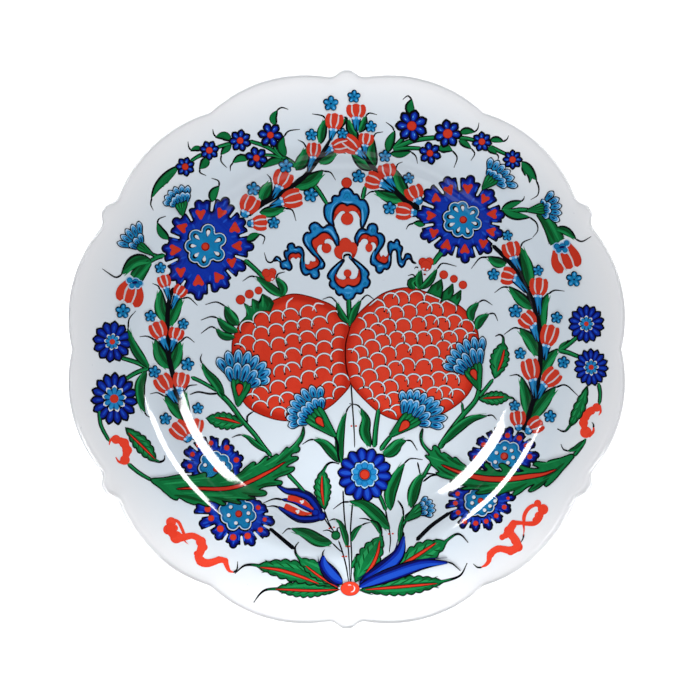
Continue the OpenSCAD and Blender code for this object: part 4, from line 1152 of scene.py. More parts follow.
m = Motif("collar_drops", "red")
m.dot("dark_red", 1, (-0.1, 88.6), 2.9)
m.dot("red", 2, (-0.1, 88.6), 2.7)
for outline in (
        [(-7, 68.4), (-6.7, 71.7), (-5.8, 74.4), (-3.8, 76.7), (-1.8, 77.1), (0.1, 76), (1.4, 76.5),
         (3.2, 76.5), (5.3, 75.4), (6.8, 73.4), (7.3, 70.7), (7.2, 68.6), (6.8, 70.1), (5.6, 72.4),
         (3.7, 73.6), (1.6, 73.4), (0.8, 72.4), (-0.6, 72.4), (-1.2, 73.4), (-2.5, 73.7), (-4.1, 72.7),
         (-5.8, 70.4)],
        [(-15.2, 50.6), (-17.1, 53.5), (-18.3, 56.4), (-17.8, 58.3), (-16.1, 59.3), (-14.8, 60.4),
         (-12.8, 61.7), (-10.4, 61.5), (-8.5, 59.8), (-7, 57.3), (-8.1, 58.3), (-9.5, 58.9), (-11.4, 58.4),
         (-12, 56.8), (-11.2, 55.6), (-12.8, 55), (-13.5, 55.9), (-15.1, 55.1), (-15.9, 53.1)],
        [(-17, 49.4), (-15, 47), (-15.1, 45.4), (-15.9, 44.3), (-18, 43.3), (-19.6, 42.7), (-21.4, 43.5),
         (-22.3, 45.3), (-21.4, 45.2), (-20.2, 45.1), (-19.6, 46), (-19.3, 47.1), (-18.3, 46.6),
         (-16.9, 46.8), (-16.4, 47.8)],
        [(-30.2, 46.9), (-30.8, 48.8), (-29.9, 50.4), (-28.4, 50.9), (-27.2, 50.6), (-25.7, 51),
         (-24.7, 50.1), (-24.4, 48.5), (-25.9, 49), (-27.1, 48.1), (-28.2, 49), (-29.7, 48.3)],
        [(-3.9, 55.2), (-3.8, 57), (-2.5, 58.8), (-0.5, 59.3), (1.5, 58.3), (2.5, 57), (3.8, 56.8),
         (5, 55.8), (5.6, 53.8), (5, 51.1), (3.7, 48.8), (2.8, 49), (2.8, 50.5), (2, 51.6), (0, 52),
         (-1.8, 51.6), (-2.6, 49.8), (-2.4, 48.1), (-3.8, 48.1), (-5.8, 49.5), (-6.6, 51.5), (-6.6, 53.1),
         (-5.5, 54.8)],
        [(-5.9, 40.3), (-6, 38.5), (-5.9, 36.8), (-4.8, 34.9), (-3.1, 33.6), (-1.5, 33.2), (0.5, 34.5),
         (2.7, 34), (4.3, 34), (6.2, 35.3), (7, 37.2), (7, 39.8), (6.4, 42.6), (6, 40.2), (5.2, 38.2),
         (3.7, 37.3), (1.8, 37.5), (1, 39), (-0.3, 39), (-0.6, 37.5), (-2.1, 37), (-4.1, 37.5),
         (-5.3, 38.7)],
        [(6.3, 56.6), (7, 59), (8.2, 60.6), (9.8, 61.1), (11.4, 60.6), (12.8, 59.8), (14.3, 60.1),
         (15.8, 59.2), (16.3, 57.4), (16.2, 55.4), (15.6, 54), (15.6, 55.4), (14.6, 56.8), (13.2, 57),
         (12.4, 56), (11.2, 56), (11.4, 57.4), (10.6, 58.6), (9.3, 58.9), (8, 58.4), (7.1, 57.1)],
        [(17.3, 51.3), (16.2, 50.1), (15.9, 48.5), (16.9, 47.2), (18.6, 46.4), (19.9, 45.9), (21.3, 46.7),
         (22, 48.8), (22.2, 51.2), (21.6, 50), (20.6, 49.1), (19.8, 49.7), (19.3, 50.2), (18.8, 49.3),
         (17.9, 49.4), (17.5, 50.4)]):
    m.fill("dark_red", 4, smoothed(outline), 0.12)
    m.fill("red", 6, smoothed(outline))
for x, y, r in ((0.2, 69.4, 3.35), (-10.8, 53.8, 2.65), (0.4, 40.5, 2.1)):
    m.dot("red", 7, (x, y), r)
m.dot("red", 7, (11.8, 54.1), 2.35, 0.82, 90)
m.done()


# ---- leaves with teeth, saz leaves and carnations ----------------------------------------------

def toothed(m, level, base, tip, width, teeth=5, rib=None, bend=0.0, hair=(), sides=(1, -1)):
    """A leaf with round scallops on both sides that lean towards its tip, and a red rib."""
    base, tip = np.array(base, float), np.array(tip, float)
    run = tip - base
    across = np.array([-run[1], run[0]]) / np.linalg.norm(run)

    def at(u, v):
        return base + run * u + across * (v + bend * 4 * u * (1 - u))

    edges = []
    for side in (1, -1):
        edge = []
        deep = 0.36 if side in sides else 0.06
        for i in range(teeth):
            for t in np.linspace(0, 0.94, 7):
                u = 0.04 + 0.93 * (i + t) / teeth
                swell = 0.74 + deep * math.sin(math.pi * min(1, 0.1 + 0.9 * t ** 1.3)) ** 0.7
                edge.append(at(u, side * width / 2 * math.sin(math.pi * u ** 1.12) ** 0.75 * swell))
        edges.append(edge)
    outline = [at(0, 0)] + edges[0] + [at(1.02, 0)] + edges[1][::-1]
    m.fill("black", level, outline, 0.3)
    m.fill("green", level + 1, outline, -0.1, soft=1.4)
    for side in (1, -1):
        m.stroke("leaf", level + 2,
                 [at(0.1, side * 0.2), at(0.5, side * width * 0.24), at(0.88, side * width * 0.1)],
                 width * 0.2, both_ends)
        for i in range(1, teeth):
            u = i / teeth
            m.stroke("deep", level + 2,
                     [at(u - 0.08, side * width * 0.1), at(u + 0.05, side * width * 0.34)], width * 0.07,
                     both_ends, across=2)
    if rib is not None:
        m.stroke("black", level + 3, rib, max(0.9, width * 0.15), both_ends, grow=0.2)
        m.stroke("dark_red", level + 4, rib, max(0.9, width * 0.16), both_ends)
        m.stroke("red", level + 5, rib, max(0.6, width * 0.11), both_ends)
    if len(hair):
        m.stroke("black", level, [at(0.94, 0)] + list(hair), 1.7, hair_shape)
        m.stroke("green", level + 1, [at(0.9, 0), hair[0]], 1.7, hair_shape)


def plain_leaf(m, level, points, width, hair, dark_side):
    """A broad leaf of the lower field: thin dark edge, light and dark streaks from the stem."""
    m.stroke("black", level, points, width, grow=0.22, shift=-0.12 * dark_side)
    m.stroke("green", level + 1, points, width * 0.96)
    m.stroke("deep", level + 2, points, width * 0.34, shift=-width * 0.12 * dark_side, across=2)
    m.stroke("leaf", level + 2, points, width * 0.2, shift=width * 0.25 * dark_side, across=2)
    if len(hair):
        m.stroke("black", level, [points[-1]] + list(hair), 0.8, hair_shape)
        m.stroke("green", level + 1, [points[-2], points[-1]], 1.0, hair_shape)


def carnation(m, level, base, left, right, outer, inner, width, drop=None, teeth=5, rim=0.8):
    """A fan of turquoise petals with pale tips over a green calyx with a red drop."""
    base, left, right = np.array(base, float), np.array(left, float), np.array(right, float)
    mouth = (left + right) / 2
    for rank, tips in ((0, outer), (1, inner)):
        for i, tip in enumerate(tips):
            tip = np.array(tip, float)
            root = left + (right - left) * (i + 0.5) / len(tips)
            root = root + (base - mouth) * 0.12 if rank else root
            near = root + (tip - root) * (0.28 if rank == 0 else 0.1)
            short = tip - (tip - near) / np.linalg.norm(tip - near) * rim
            lift = level + rank * 5
            m.stroke("black", lift, [near, tip], width * 0.92, round_petal, grow=0.45, step=0.5)
            m.stroke("pale", lift + 1, [near, tip], width * 0.88, round_petal, step=0.5)
            m.stroke("turquoise", lift + 2, [near, short], width * 0.8, round_petal, step=0.5)
            m.stroke("light", lift + 3, [near + (tip - near) * 0.5, short], width * 0.42, both_ends,
                     across=2)
            m.stroke("navy", lift + 4,
                     [near + (tip - near) * (0.35 - 0.3 * rank), near + (tip - near) * 0.68], width * 0.2,
                     both_ends, across=2)
    run = mouth - base
    fan = []
    for i in range(teeth):
        end = left + (right - left) * (i + 0.5) / teeth + run * (0.04 + 0.05 * (i % 2))
        fan.append(([base - run * 0.05, base + (end - base) * 0.55, end],
                    np.linalg.norm(right - left) / teeth * 1.35))
    for points, wide in fan:
        m.stroke("black", level + 10, points, wide, petal_shape, grow=0.35)
    for points, wide in fan:
        m.stroke("green", level + 11, points, wide, petal_shape)
    for i, (points, wide) in enumerate(fan[:-1]):
        between = [(a + b) / 2 for a, b in zip(fan[i][0][1:], fan[i + 1][0][1:])]
        m.stroke("deep", level + 12, between, 0.7, both_ends, across=2)
        m.stroke("leaf", level + 12, [points[1], points[2] - run * 0.1], wide * 0.25, both_ends, across=2)
    if drop is not None:
        centre, length, turn = drop
        m.patch("black", level + 13, turned(DROP, turn, centre, length), rings=2, grow=0.35)
        m.patch("red", level + 14, turned(DROP, turn, centre, length * 0.93), rings=2)


m = Motif("carnations_field", "turquoise")
carnation(m, 7, (-57.8, -29.5), (-61.6, -16), (-50.5, -19),
          ((-68.6, -4.6), (-63.5, -1), (-57.6, 0), (-51.9, -1), (-47.3, -3.2), (-43, -6.8), (-40.6, -10.8),
           (-40.9, -15.6)),
          ((-63.4, -9), (-58, -7), (-52.4, -7.7), (-48, -11), (-46.1, -16)), 5.0, ((-57.1, -21.6), 6.4, 85))
carnation(m, 7, (-6.6, -45.6), (-22.2, -38.6), (-13.8, -30),
          ((-31, -40.6), (-32, -36.2), (-31.6, -31.8), (-30, -27.6), (-27.6, -24), (-23.8, -20.9),
           (-19, -19.2), (-14, -19.6)),
          ((-26.6, -38), (-26.2, -33.8), (-24, -30.6), (-21.4, -28), (-17.6, -25.8), (-13.6, -25.4)), 4.3,
          ((-14, -38.8), 6.2, 127))
m.stroke("black", 7, [(-6.8, -45.4), (-5, -50), (-4.6, -56), (-3.6, -60)], 1.3, stem_shape)
carnation(m, 7, (70.4, -21), (62, -12.4), (71.6, -6.8),
          ((51.2, -8.4), (53, -3.8), (55.4, -0.1), (58.7, 3.4), (62.7, 5.6), (67.4, 6.8), (72.2, 6.6)),
          ((56.8, -8.8), (58.4, -5.2), (61.6, -2), (66.4, 0.8), (70.8, 0.9)), 4.2, ((67.8, -13.6), 6.0, 112))
carnation(m, 7, (23.4, -45.8), (30.6, -33.4), (39.8, -39.2),
          ((29.3, -22), (33.9, -21.2), (38, -21.6), (42, -23.2), (46, -25.4), (49.4, -27.4), (51.4, -31),
           (53.2, -36.2), (51.2, -41)),
          ((30.8, -26.4), (34.4, -26.2), (37.8, -27), (41.4, -29.6), (44.4, -33.8), (44.6, -39)), 4.3,
          ((30.1, -41.1), 7.4, 48))
carnation(m, 7, (31.5, -90.6), (38.4, -81.4), (39.4, -88),
          ((42.7, -78.6), (45.2, -80.4), (46.6, -82.8), (47, -85.4), (45.6, -88)),
          ((41.4, -81.4), (43, -83.6), (43, -86.4)), 2.7, teeth=3, rim=0.5)
m.done()

def saz(m, level, outline, shade, rib, rib_width):
    """A long curling leaf with fingers along its edge, shaded along the fingers, on a red rib."""
    edge = smoothed(outline, 0.6)
    m.fill("black", level, edge, 0.3)
    m.fill("green", level + 1, edge, -0.12, soft=1.2)
    for i, (points, width) in enumerate(shade):
        m.stroke("leaf" if i % 2 else "deep", level + 2 + i % 2, points, width, both_ends)
    m.stroke("black", level + 4, rib, rib_width, both_ends, grow=0.3)
    m.stroke("dark_red", level + 5, rib, rib_width, both_ends)
    m.stroke("red", level + 6, rib, rib_width * 0.86,
             along((0, 0), (0.12, 0.3), (0.35, 1), (0.78, 0.9), (1, 0)))


m = Motif("saz_leaf_left", "green")
saz(m, 15,
    [(-104.1, -69.6), (-103.4, -68.6), (-97.4, -68.2), (-92.1, -67.2), (-87.8, -66.5), (-82.8, -67.2),
     (-78.8, -66.3), (-75.5, -65.3), (-74.4, -66.3), (-74.6, -68.1), (-71.5, -67.9), (-69.2, -66.3),
     (-66.5, -64.3), (-65.5, -65.4), (-66.1, -67.5), (-64.2, -67.2), (-62.2, -65.3), (-60.7, -63.9),
     (-60.3, -65.6), (-59.9, -67.2), (-57.6, -66.3), (-53.6, -62.6), (-50.2, -59.9), (-48.3, -60.3),
     (-48.9, -61.8), (-46.6, -60.3), (-43.3, -57), (-41.6, -57.3), (-42.6, -59), (-39.9, -57.2),
     (-37.3, -55.6), (-36.2, -56.4), (-34.6, -55), (-32, -52), (-30.8, -52.4), (-29, -51.3), (-26.3, -48.3),
     (-24.3, -45.3), (-23, -41), (-22.6, -45), (-24, -48.6), (-25.8, -51.2), (-24.9, -52.6), (-25.7, -54.3),
     (-29, -55.4), (-29.4, -56.8), (-26.3, -57), (-25.9, -58.3), (-28.3, -59.9), (-31, -61.3),
     (-32.1, -62.4), (-30.3, -62.5), (-28, -62.6), (-28.2, -64.3), (-31.6, -66.3), (-35.6, -67.6),
     (-38.7, -69.5), (-36.3, -69.6), (-34.3, -70.3), (-35, -71.9), (-38.9, -72.3), (-43.6, -72.9),
     (-46.8, -74.5), (-44.3, -74.9), (-42.5, -76.2), (-43.6, -77.6), (-47.6, -78), (-52.6, -77.7),
     (-49.8, -78.5), (-49.1, -79.4), (-53.6, -79.9), (-58.6, -79.7), (-56.3, -81.2), (-57, -82.2),
     (-61.5, -81.3), (-66.4, -80.2), (-64.2, -82.1), (-66.2, -82.9), (-70.8, -81), (-74.4, -80.4),
     (-72.7, -82.8), (-74.8, -83.3), (-78.8, -81.9), (-80.8, -82.5), (-84.8, -81.2), (-89, -78.9),
     (-90.1, -80), (-92.8, -79.2), (-96.1, -76.6), (-99.4, -73.6), (-102.7, -71.2)],
    (([(-92, -77.4), (-84, -78.6), (-76, -81)], 1.6), ([(-98, -71.6), (-88, -70.6), (-78, -70.2)], 1.2),
     ([(-100, -69.6), (-92, -68.6), (-84, -68.4)], 0.9), ([(-80, -77), (-70, -77.6), (-60, -77.4)], 1.2),
     ([(-72, -78.4), (-64, -80), (-58, -81)], 1.3), ([(-68, -71), (-58, -69), (-50, -65)], 1.1),
     ([(-56, -76), (-50, -77), (-45, -76.6)], 1.3), ([(-52, -64), (-46, -60.6), (-43, -58)], 0.9),
     ([(-48, -73), (-42, -71.4), (-37, -71)], 1.2), ([(-44, -62), (-38, -58.6), (-33, -54)], 1.0),
     ([(-40, -68), (-34, -65.4), (-30, -64)], 1.1), ([(-88, -76.2), (-78, -76.6), (-68, -76.8)], 0.9),
     ([(-38, -61), (-33, -57.4), (-28, -53)], 1.3), ([(-84, -69.4), (-76, -68.4), (-72, -68.4)], 0.9),
     ([(-62, -68.4), (-56, -66), (-51, -62)], 1.3), ([(-66, -78.6), (-60, -78.6), (-54, -79)], 0.8),
     ([(-34, -61), (-30, -59), (-27, -58)], 1.0), ([(-31, -54), (-27, -50), (-24.6, -46)], 0.8)),
    [(-90.4, -74.2), (-84.1, -73.8), (-77.5, -73.9), (-70.8, -74.2), (-64.2, -73.9), (-57.6, -72.6),
     (-50.9, -69.9), (-44.3, -66.6), (-38.3, -63.3), (-32.8, -59.8)],
    2.0)
m.done()

m = Motif("saz_leaf_right", "green")
saz(m, 15,
    [(120.6, -56.2), (119.1, -55.7), (113.7, -57.6), (109.1, -58.6), (106.8, -59.5), (106.9, -60.2),
     (104.4, -59.9), (101.1, -59.6), (99.3, -60.5), (99, -61.4), (101.1, -62.3), (102.2, -63.1),
     (99.4, -63.3), (95.8, -62.6), (92.5, -61.4), (91.4, -62.2), (92, -63.4), (93.9, -64.6), (91.6, -65.3),
     (89.8, -64.6), (86.5, -62.6), (83.2, -60.6), (81.2, -60.8), (80.9, -61.9), (82.5, -63.8), (82.1, -64.9),
     (79.8, -64.6), (77.2, -62.6), (74.5, -60.3), (73.1, -60.7), (73.3, -62.3), (74.8, -63.8), (73.2, -64.6),
     (69.9, -63.3), (68.3, -61.6), (66.6, -62.6), (65, -63.8), (62.6, -61.3), (60.6, -59.9), (57.9, -57.3),
     (56.1, -57.7), (53.9, -56), (51.6, -54.7), (50.2, -55.1), (49, -52.6), (47, -51), (45.6, -51.7),
     (45.7, -53.2), (44.4, -53.6), (41.3, -50.6), (40, -47.3), (40.4, -42), (38.9, -45.6), (39.6, -50),
     (42.1, -53.8), (43.9, -56), (41.6, -56.3), (42.5, -57.6), (44, -59), (45, -61.3), (47.3, -63.3),
     (49.1, -65.2), (47.5, -65.5), (48, -66.6), (50.6, -67.9), (53.6, -68.7), (57.5, -69.8), (54.6, -70.2),
     (59.2, -71.6), (64.2, -72.7), (60.7, -73.8), (62.6, -74.6), (67.2, -74.3), (70.9, -74.7), (68.5, -75.9),
     (69.2, -76.9), (73.9, -76.6), (78.8, -75.2), (80.6, -75.6), (79.8, -77.8), (82.5, -76.6), (87.2, -75.2),
     (89.4, -74.8), (88.1, -76.9), (89.1, -77.8), (92.5, -75.9), (95.8, -73.3), (99.6, -71.7), (96.6, -74.7),
     (97.5, -75.7), (100.4, -74.6), (103.8, -72.2), (106.2, -69.7), (105, -72), (106.1, -72.8),
     (108.4, -71.2), (111.1, -68.6), (114.4, -64.6), (117.7, -60.9), (120.4, -57.6)],
    (([(116, -60), (110, -65), (104, -69)], 1.5), ([(114, -58.4), (108, -60), (102, -61)], 0.9),
     ([(108, -68), (102, -72), (98, -74.6)], 1.2), ([(98, -64.4), (90, -66), (80, -66.2)], 0.9),
     ([(96, -71), (90, -74), (84, -75.6)], 1.3), ([(86, -72), (78, -73), (70, -75)], 0.9),
     ([(76, -72.4), (68, -72.6), (60, -71.6)], 1.4), ([(72, -65.6), (66, -64.6), (60, -61.6)], 0.9),
     ([(78, -74.6), (72, -75.6), (70, -76)], 0.9), ([(94, -70), (84, -71.2), (74, -71)], 0.9),
     ([(62, -62.4), (57, -59.4), (53, -57)], 1.4), ([(60, -69), (54, -67.4), (50, -66.4)], 0.9),
     ([(54, -60), (49, -56.4), (46.6, -53)], 1.3), ([(52, -59.6), (47, -58), (43.6, -56.6)], 0.9),
     ([(58, -68), (52, -65), (48, -62)], 1.2), ([(44, -54.6), (41, -51), (40, -47)], 0.8)),
    [(50.4, -61.3), (55.3, -63.6), (60.6, -65.6), (64.6, -66.9), (71.2, -68.3), (77.2, -68.9), (84.5, -68.9),
     (91.1, -68.3), (97.8, -67.3), (104.4, -66.3), (111.4, -63.8)],
    2.9)
m.done()


# ---- stems, leaves and flowers of the lower field ----------------------------------------------

m = Motif("field_stems", "green")
for points, width in (
        ([(-82.4, -14.8), (-76.5, -17.6), (-68.6, -22.2)], 1.5),
        ([(-68.6, -22.2), (-62, -29), (-55.6, -37.6), (-49, -45.2), (-44, -52), (-40.2, -56.6)], 2.3),
        ([(-31.4, -66.2), (-27, -70.8), (-22, -76.4)], 1.7),
        ([(14.6, -51.7), (15.4, -42), (16.9, -32)], 2.4), ([(18, -53.4), (20.6, -49.6), (23.6, -46)], 2.2),
        ([(49.2, -52.4), (55, -43.6), (61.6, -35), (68.2, -27.4), (70.6, -20.6)], 2.6),
        ([(70.6, -24.8), (74.2, -20.4), (77.6, -16)], 1.7),
        ([(40.4, -68.4), (42.4, -64.4), (44.6, -60.4)], 1.6),
        ([(16.6, -76.4), (18.6, -80.2), (20.6, -85.4)], 1.7),
        ([(29.6, -103), (28.8, -96), (31.4, -90.4)], 1.8),
        ([(31.5, -90.2), (35.6, -86.6), (39.2, -84.4)], 3.4),
        ([(133.8, -18.2), (134.6, -23.5), (134.2, -29)], 1.6),
        ([(120.6, -56.6), (124, -52.4), (126.8, -47.8)], 1.7),
        ([(-131.6, -32.6), (-130.6, -40.4), (-126.4, -48.6)], 1.6),
        ([(-116.2, -60.8), (-110.4, -65.6), (-103.6, -69.6)], 1.7),
        ([(61.8, -34.4), (61.6, -32), (61.2, -29)], 0.9)):
    stalk(m, 3, points, width)
for points, width in (
        ([(61.6, -31), (61.7, -29.6), (60.8, -28)], 0.7),
        ([(-52.8, -39), (-52.8, -35.4), (-49.6, -33)], 0.8),
        ([(-68.6, -23.4), (-73, -23.6), (-79, -22.6), (-83.4, -24)], 0.8),
        ([(2.3, -19), (3, -30), (3.8, -42), (4.2, -52)], 0.55),
        ([(-11.9, -85.6), (-9.6, -92), (-7, -96.4)], 0.5),
        ([(-12.6, -88.6), (-9.4, -93.6), (-6.6, -97)], 0.5),
        ([(-4.4, -101.6), (-2.4, -107.4), (-0.4, -115), (1, -123.4)], 0.55),
        ([(-7.6, -103), (-4.6, -106), (-2.2, -108)], 0.5),
        ([(-2, -75), (-1.2, -90), (0.8, -106), (1.8, -123.4)], 0.55),
        ([(3, -82), (2, -96), (2.6, -110), (2.2, -123.4)], 0.55),
        ([(20.6, -85.4), (22.4, -95), (23.2, -101), (22.6, -107.8)], 0.6),
        ([(40.6, -70.2), (44.8, -67.2), (49, -66.6)], 0.8),
        ([(37.6, -60), (38.6, -64.6), (39.2, -67.2)], 0.6),
        ([(27.4, -80.4), (29.8, -84.4), (30.4, -91)], 0.6)):
    m.stroke("black", 3, points, width * 1.15, along((0, 1), (0.7, 0.8), (1, 0.4)), across=2)
for x, y in ((-9.2, -95.1), (-6.8, -94.5), (-0.3, -104.6), (1.4, -104.6), (-2.2, -110), (-0.4, -110),
             (22.4, -98.1), (24.4, -97.9), (2.5, -40.7), (4.9, -40.7)):
    m.dot("red", 5, (x, y), 0.6, 0.7)
m.done()

m = Motif("field_leaves", "green")
toothed(m, 4, (-54.4, -39.6), (-74.4, -36.6), 8.4, 6, [(-56.4, -39.4), (-63, -37.4), (-70, -36.1)])
toothed(m, 4, (-11.8, -85.2), (-12.8, -64.2), 8.4, 6, [(-12.2, -83), (-13.2, -75), (-13.2, -67)], bend=0.6,
        hair=((-10.6, -61.4), (-7.8, -60), (-4.2, -60.8)))
toothed(m, 4, (78.6, -15.4), (83.4, 3.6), 9.2, 6, [(80.2, -11.6), (82.4, -6), (83.7, 0)],
        hair=((83, 6.6), (81.2, 7.9), (79, 7)))
toothed(m, 4, (70, -26.4), (86.4, -25.4), 6.8, 6, [(72.4, -26), (78, -25.6), (83.6, -25.2)],
        hair=((88.4, -26), (89.8, -28)))
for points, width, hair, dark in (
        ([(-65.4, -25.4), (-69.4, -18.4), (-74.4, -12.4), (-77, -7.4)], 4.6, ((-77.8, -5), (-77, -2.4)), 1),
        ([(-42.4, -54.4), (-48, -50.4), (-52.6, -46.6), (-56, -45.4)], 2.6, ((-58, -45.6), (-61, -46.8)),
         -1),
        ([(-3, -60.4), (-4, -50), (-2.6, -40), (-0.4, -33.4)], 4.4, ((0.8, -31), (3, -29)), 1),
        ([(-3.6, -60), (-8.4, -53.6), (-12.6, -49.6), (-17.4, -47.8)], 5.2, ((-20, -48.2), (-23.6, -50.4)),
         -1),
        ([(12.4, -51.7), (9.4, -44), (10, -37.4), (7.4, -31.4)], 5.6, ((5.6, -29.6), (1.4, -28.8)), 1),
        ([(19.2, -56.2), (24, -53.6), (27.4, -50), (31.4, -48.4)], 6.4, ((34.4, -48.8), (37.4, -53.6)), 1),
        ([(23, -85.4), (23, -76), (26.4, -67.4), (30.4, -60.6)], 6.4, ((34, -58), (40.2, -58.6)), 1),
        ([(34, -84), (35.6, -75), (38.4, -69), (42, -66.2)], 6.0, ((44, -66), (47.8, -66.4)), 1),
        ([(50.4, -50.6), (58, -42.4), (66, -37), (74.4, -35.2)], 5.0, ((77.4, -35), (79.6, -37.4)), 1),
        ([(-8, -103), (-15, -101.6), (-22, -97.8), (-29.4, -95.4)], 6.6, ((-31.6, -95.4), (-34.2, -98)), 1),
        ([(0.2, -105), (-1, -99), (-3.4, -92.6), (-6, -90.2)], 3.0, ((-7.4, -90.2), (-9.2, -91)), 1),
        ([(22.6, -95.6), (15, -87.4), (8.4, -82.4), (1.4, -81)], 6.8, ((-2.4, -81.4), (-7.2, -84.8)), 1),
        ([(2.4, -102), (4.4, -97), (8, -93.4)], 2.6, ((10, -92.4), (12.4, -92)), -1),
        ([(17.8, -98), (16.4, -94), (12.4, -90.8)], 2.6, ((10, -90), (6.8, -89.8)), 1),
        ([(2.8, -116), (4.6, -112.6), (4.8, -109.8)], 3.0, ((5.6, -108.8), (8, -109)), 1),
        ([(28, -103.4), (28.6, -95), (30, -88)], 2.4, ((29.6, -84.6), (27, -80.4)), 1),
        ([(-105.2, -9.8), (-111, -2), (-114.4, 4.6), (-116.2, 11)], 4.6, ((-115.6, 16.2), (-112.2, 20.4)),
         -1),
        ([(-106.8, -11.6), (-110, -19), (-109.4, -28), (-107.4, -33.4)], 5.2, ((-106.4, -35), (-104.8, -36)),
         -1),
        ([(126.6, -48.4), (122.4, -52.4), (117.6, -54)], 2.8, ((115, -53), (113.8, -50.4)), 1)):
    plain_leaf(m, 4, points, width, hair, dark)
toothed(m, 4, (-117.6, -41.6), (-101.6, -59.6), 7.8, 6, [(-116.2, -44.2), (-109, -51.2), (-101.8, -58.4)],
        bend=0.6, hair=((-99.4, -59.8), (-97, -58.6), (-96.8, -56.4)))
toothed(m, 4, (127.8, -19.4), (118.4, -41), 5.8, 5, bend=0.8,
        hair=((116.4, -43.2), (114.2, -43.4), (112, -42.2)))
m.dot("black", 5, (-5.8, -98.8), 2.5)
m.dot("green", 6, (-5.8, -98.8), 2.2)
for points in (((-7, -97.6), (-10, -96), (-12.6, -96.4)), ((-5, -97), (-5, -95), (-3.4, -94.8)),
               ((-7, -97.4), (-7.4, -96))):
    m.stroke("black", 5, points, 0.8, hair_shape, across=2)
m.done()

m = Motif("centre_flower", "cobalt")
CENTRE = np.array((9.5, -66.5))
LONG_TURN = 90 + 0.3 * 360 / 14      # the first of the long petals
for a in spokes(14, LONG_TURN):
    m.stroke("black", 5, ray(CENTRE, a, 4.5, 14.2), 5.9, round_petal, grow=0.35, step=0.5)
for a in spokes(14, LONG_TURN):
    m.stroke("cobalt", 7, ray(CENTRE, a, 5, 13.9), 4.9, round_petal, step=0.5)
    m.stroke("royal", 8, ray(CENTRE, a, 7, 13), 2.2, both_ends)
for a in spokes(10, 90):
    m.stroke("black", 9, ray(CENTRE, a, 2, 7.7), 3.9, round_petal, grow=0.4)
for a in spokes(10, 90):
    m.stroke("pale", 10, ray(CENTRE, a, 2, 7.5), 3.8, round_petal)
    m.stroke("sky", 11, ray(CENTRE, a, 1.5, 6.8), 3.7, round_petal)
m.dot("turquoise", 12, CENTRE, 3.6)
m.dot("dark_red", 13, CENTRE, 2.8)
m.dot("red", 14, CENTRE, 2.4)
m.done()

m = Motif("blue_tulip", "cobalt")
UPPER = [(-14, -88.6), (-16.4, -83), (-20, -78.4), (-26, -76), (-32, -75.2), (-36.4, -72.8)]
MIDDLE = [(-15.4, -87.2), (-22, -84), (-28, -80.8), (-34, -79.8)]
LOWER = [(-14, -89), (-19, -90.2), (-25.4, -90), (-31, -87), (-36, -84)]
BLUE = ((UPPER, 4.0, along((0, 0.75), (0.35, 0.95), (0.6, 0.9), (0.85, 0.5), (1, 0.1))),
        (MIDDLE, 1.7, along((0, 0.8), (0.5, 1), (0.8, 0.7), (1, 0.3))),
        (LOWER, 3.4, along((0, 0.8), (0.35, 0.9), (0.7, 0.75), (1, 0.2))))
joined(m, 4, BLUE, ((-13.6, -88.6, 2.1), (-16.6, -86.6, 2)))
m.stroke("navy", 6, UPPER, 1.3, both_ends, shift=-1.0)
m.stroke("navy", 6, LOWER, 1.1, both_ends, shift=0.8)
for points in (((-34.4, -79.8), (-38.6, -79.4), (-44.4, -81.6)), ((-36, -84), (-39, -83.2), (-42.6, -83.6)),
               ((-35.6, -73.4), (-37.6, -72.2))):
    m.stroke("black", 4, points, 1.0, hair_shape)
for points in (((-31.4, -78.8), (-27, -79.6), (-22.4, -81.6), (-17.8, -85)),
               ((-33, -83), (-28, -85.4), (-23, -87.2), (-18.6, -87.2))):
    m.stroke("red", 7, points, 3.2, along((0, 0.8), (0.1, 1), (0.6, 0.9), (1, 0.25)))
for x, y, turn in ((-23.6, -81, -35), (-25.9, -86.2, -20)):
    m.dot("white", 8, (x, y), 1.15, 0.62, turn + 90)
    m.dot("white", 8, (x - 0.9, y + 0.3), 0.5)
m.done()


# ---- bouquet at the bottom ---------------------------------------------------------------------

KNOT = (1.7, -127.1)


def blue_leaf(m, level, points, width, hair):
    """A broad cobalt leaf with a fine black hair at its tip."""
    m.stroke("black", level, points, width, grow=0.5)
    m.stroke("cobalt", level + 1, points, width * 0.98)
    m.stroke("royal", level + 2, points, width * 0.5, shift=-width * 0.12)
    m.stroke("navy", level + 2, points, width * 0.2, shift=width * 0.36, across=2)
    m.stroke("black", level, [points[-1]] + list(hair), 0.8, hair_shape)


m = Motif("bouquet_leaves_left", "green")
toothed(m, 1, (-4, -127.6), (-37.6, -127.2), 8.2, 8, [(-3.9, -127.6), (-18, -128.2), (-38, -127.4)],
        hair=((-42.4, -127.6), (-46, -129.8), (-49.4, -134.4)))
toothed(m, 6, (-5, -126), (-48, -115), 10.6, 8,
        [(-14.8, -124.6), (-24.9, -120.6), (-35.5, -117.3), (-46.1, -115.8)], bend=-2.2,
        hair=((-51, -114.4), (-55, -115.2), (-59.4, -119)))
toothed(m, 11, (-4, -126), (-25.6, -111.4), 8.2, 6, [(-4.7, -126.6), (-13.6, -121.2), (-21.9, -115)],
        bend=-0.6, hair=((-27, -108.6), (-27.4, -105), (-25.6, -102.4)))
blue_leaf(m, 16, [(-2.6, -124.4), (-8, -120), (-12, -114.4), (-12.8, -109.6)], 7.0,
          ((-12.8, -108), (-12, -106.6)))
m.stroke("black", 16, [(-12.8, -109), (-12.6, -107.6), (-11.8, -106.4)], 0.7, hair_shape)
m.done()

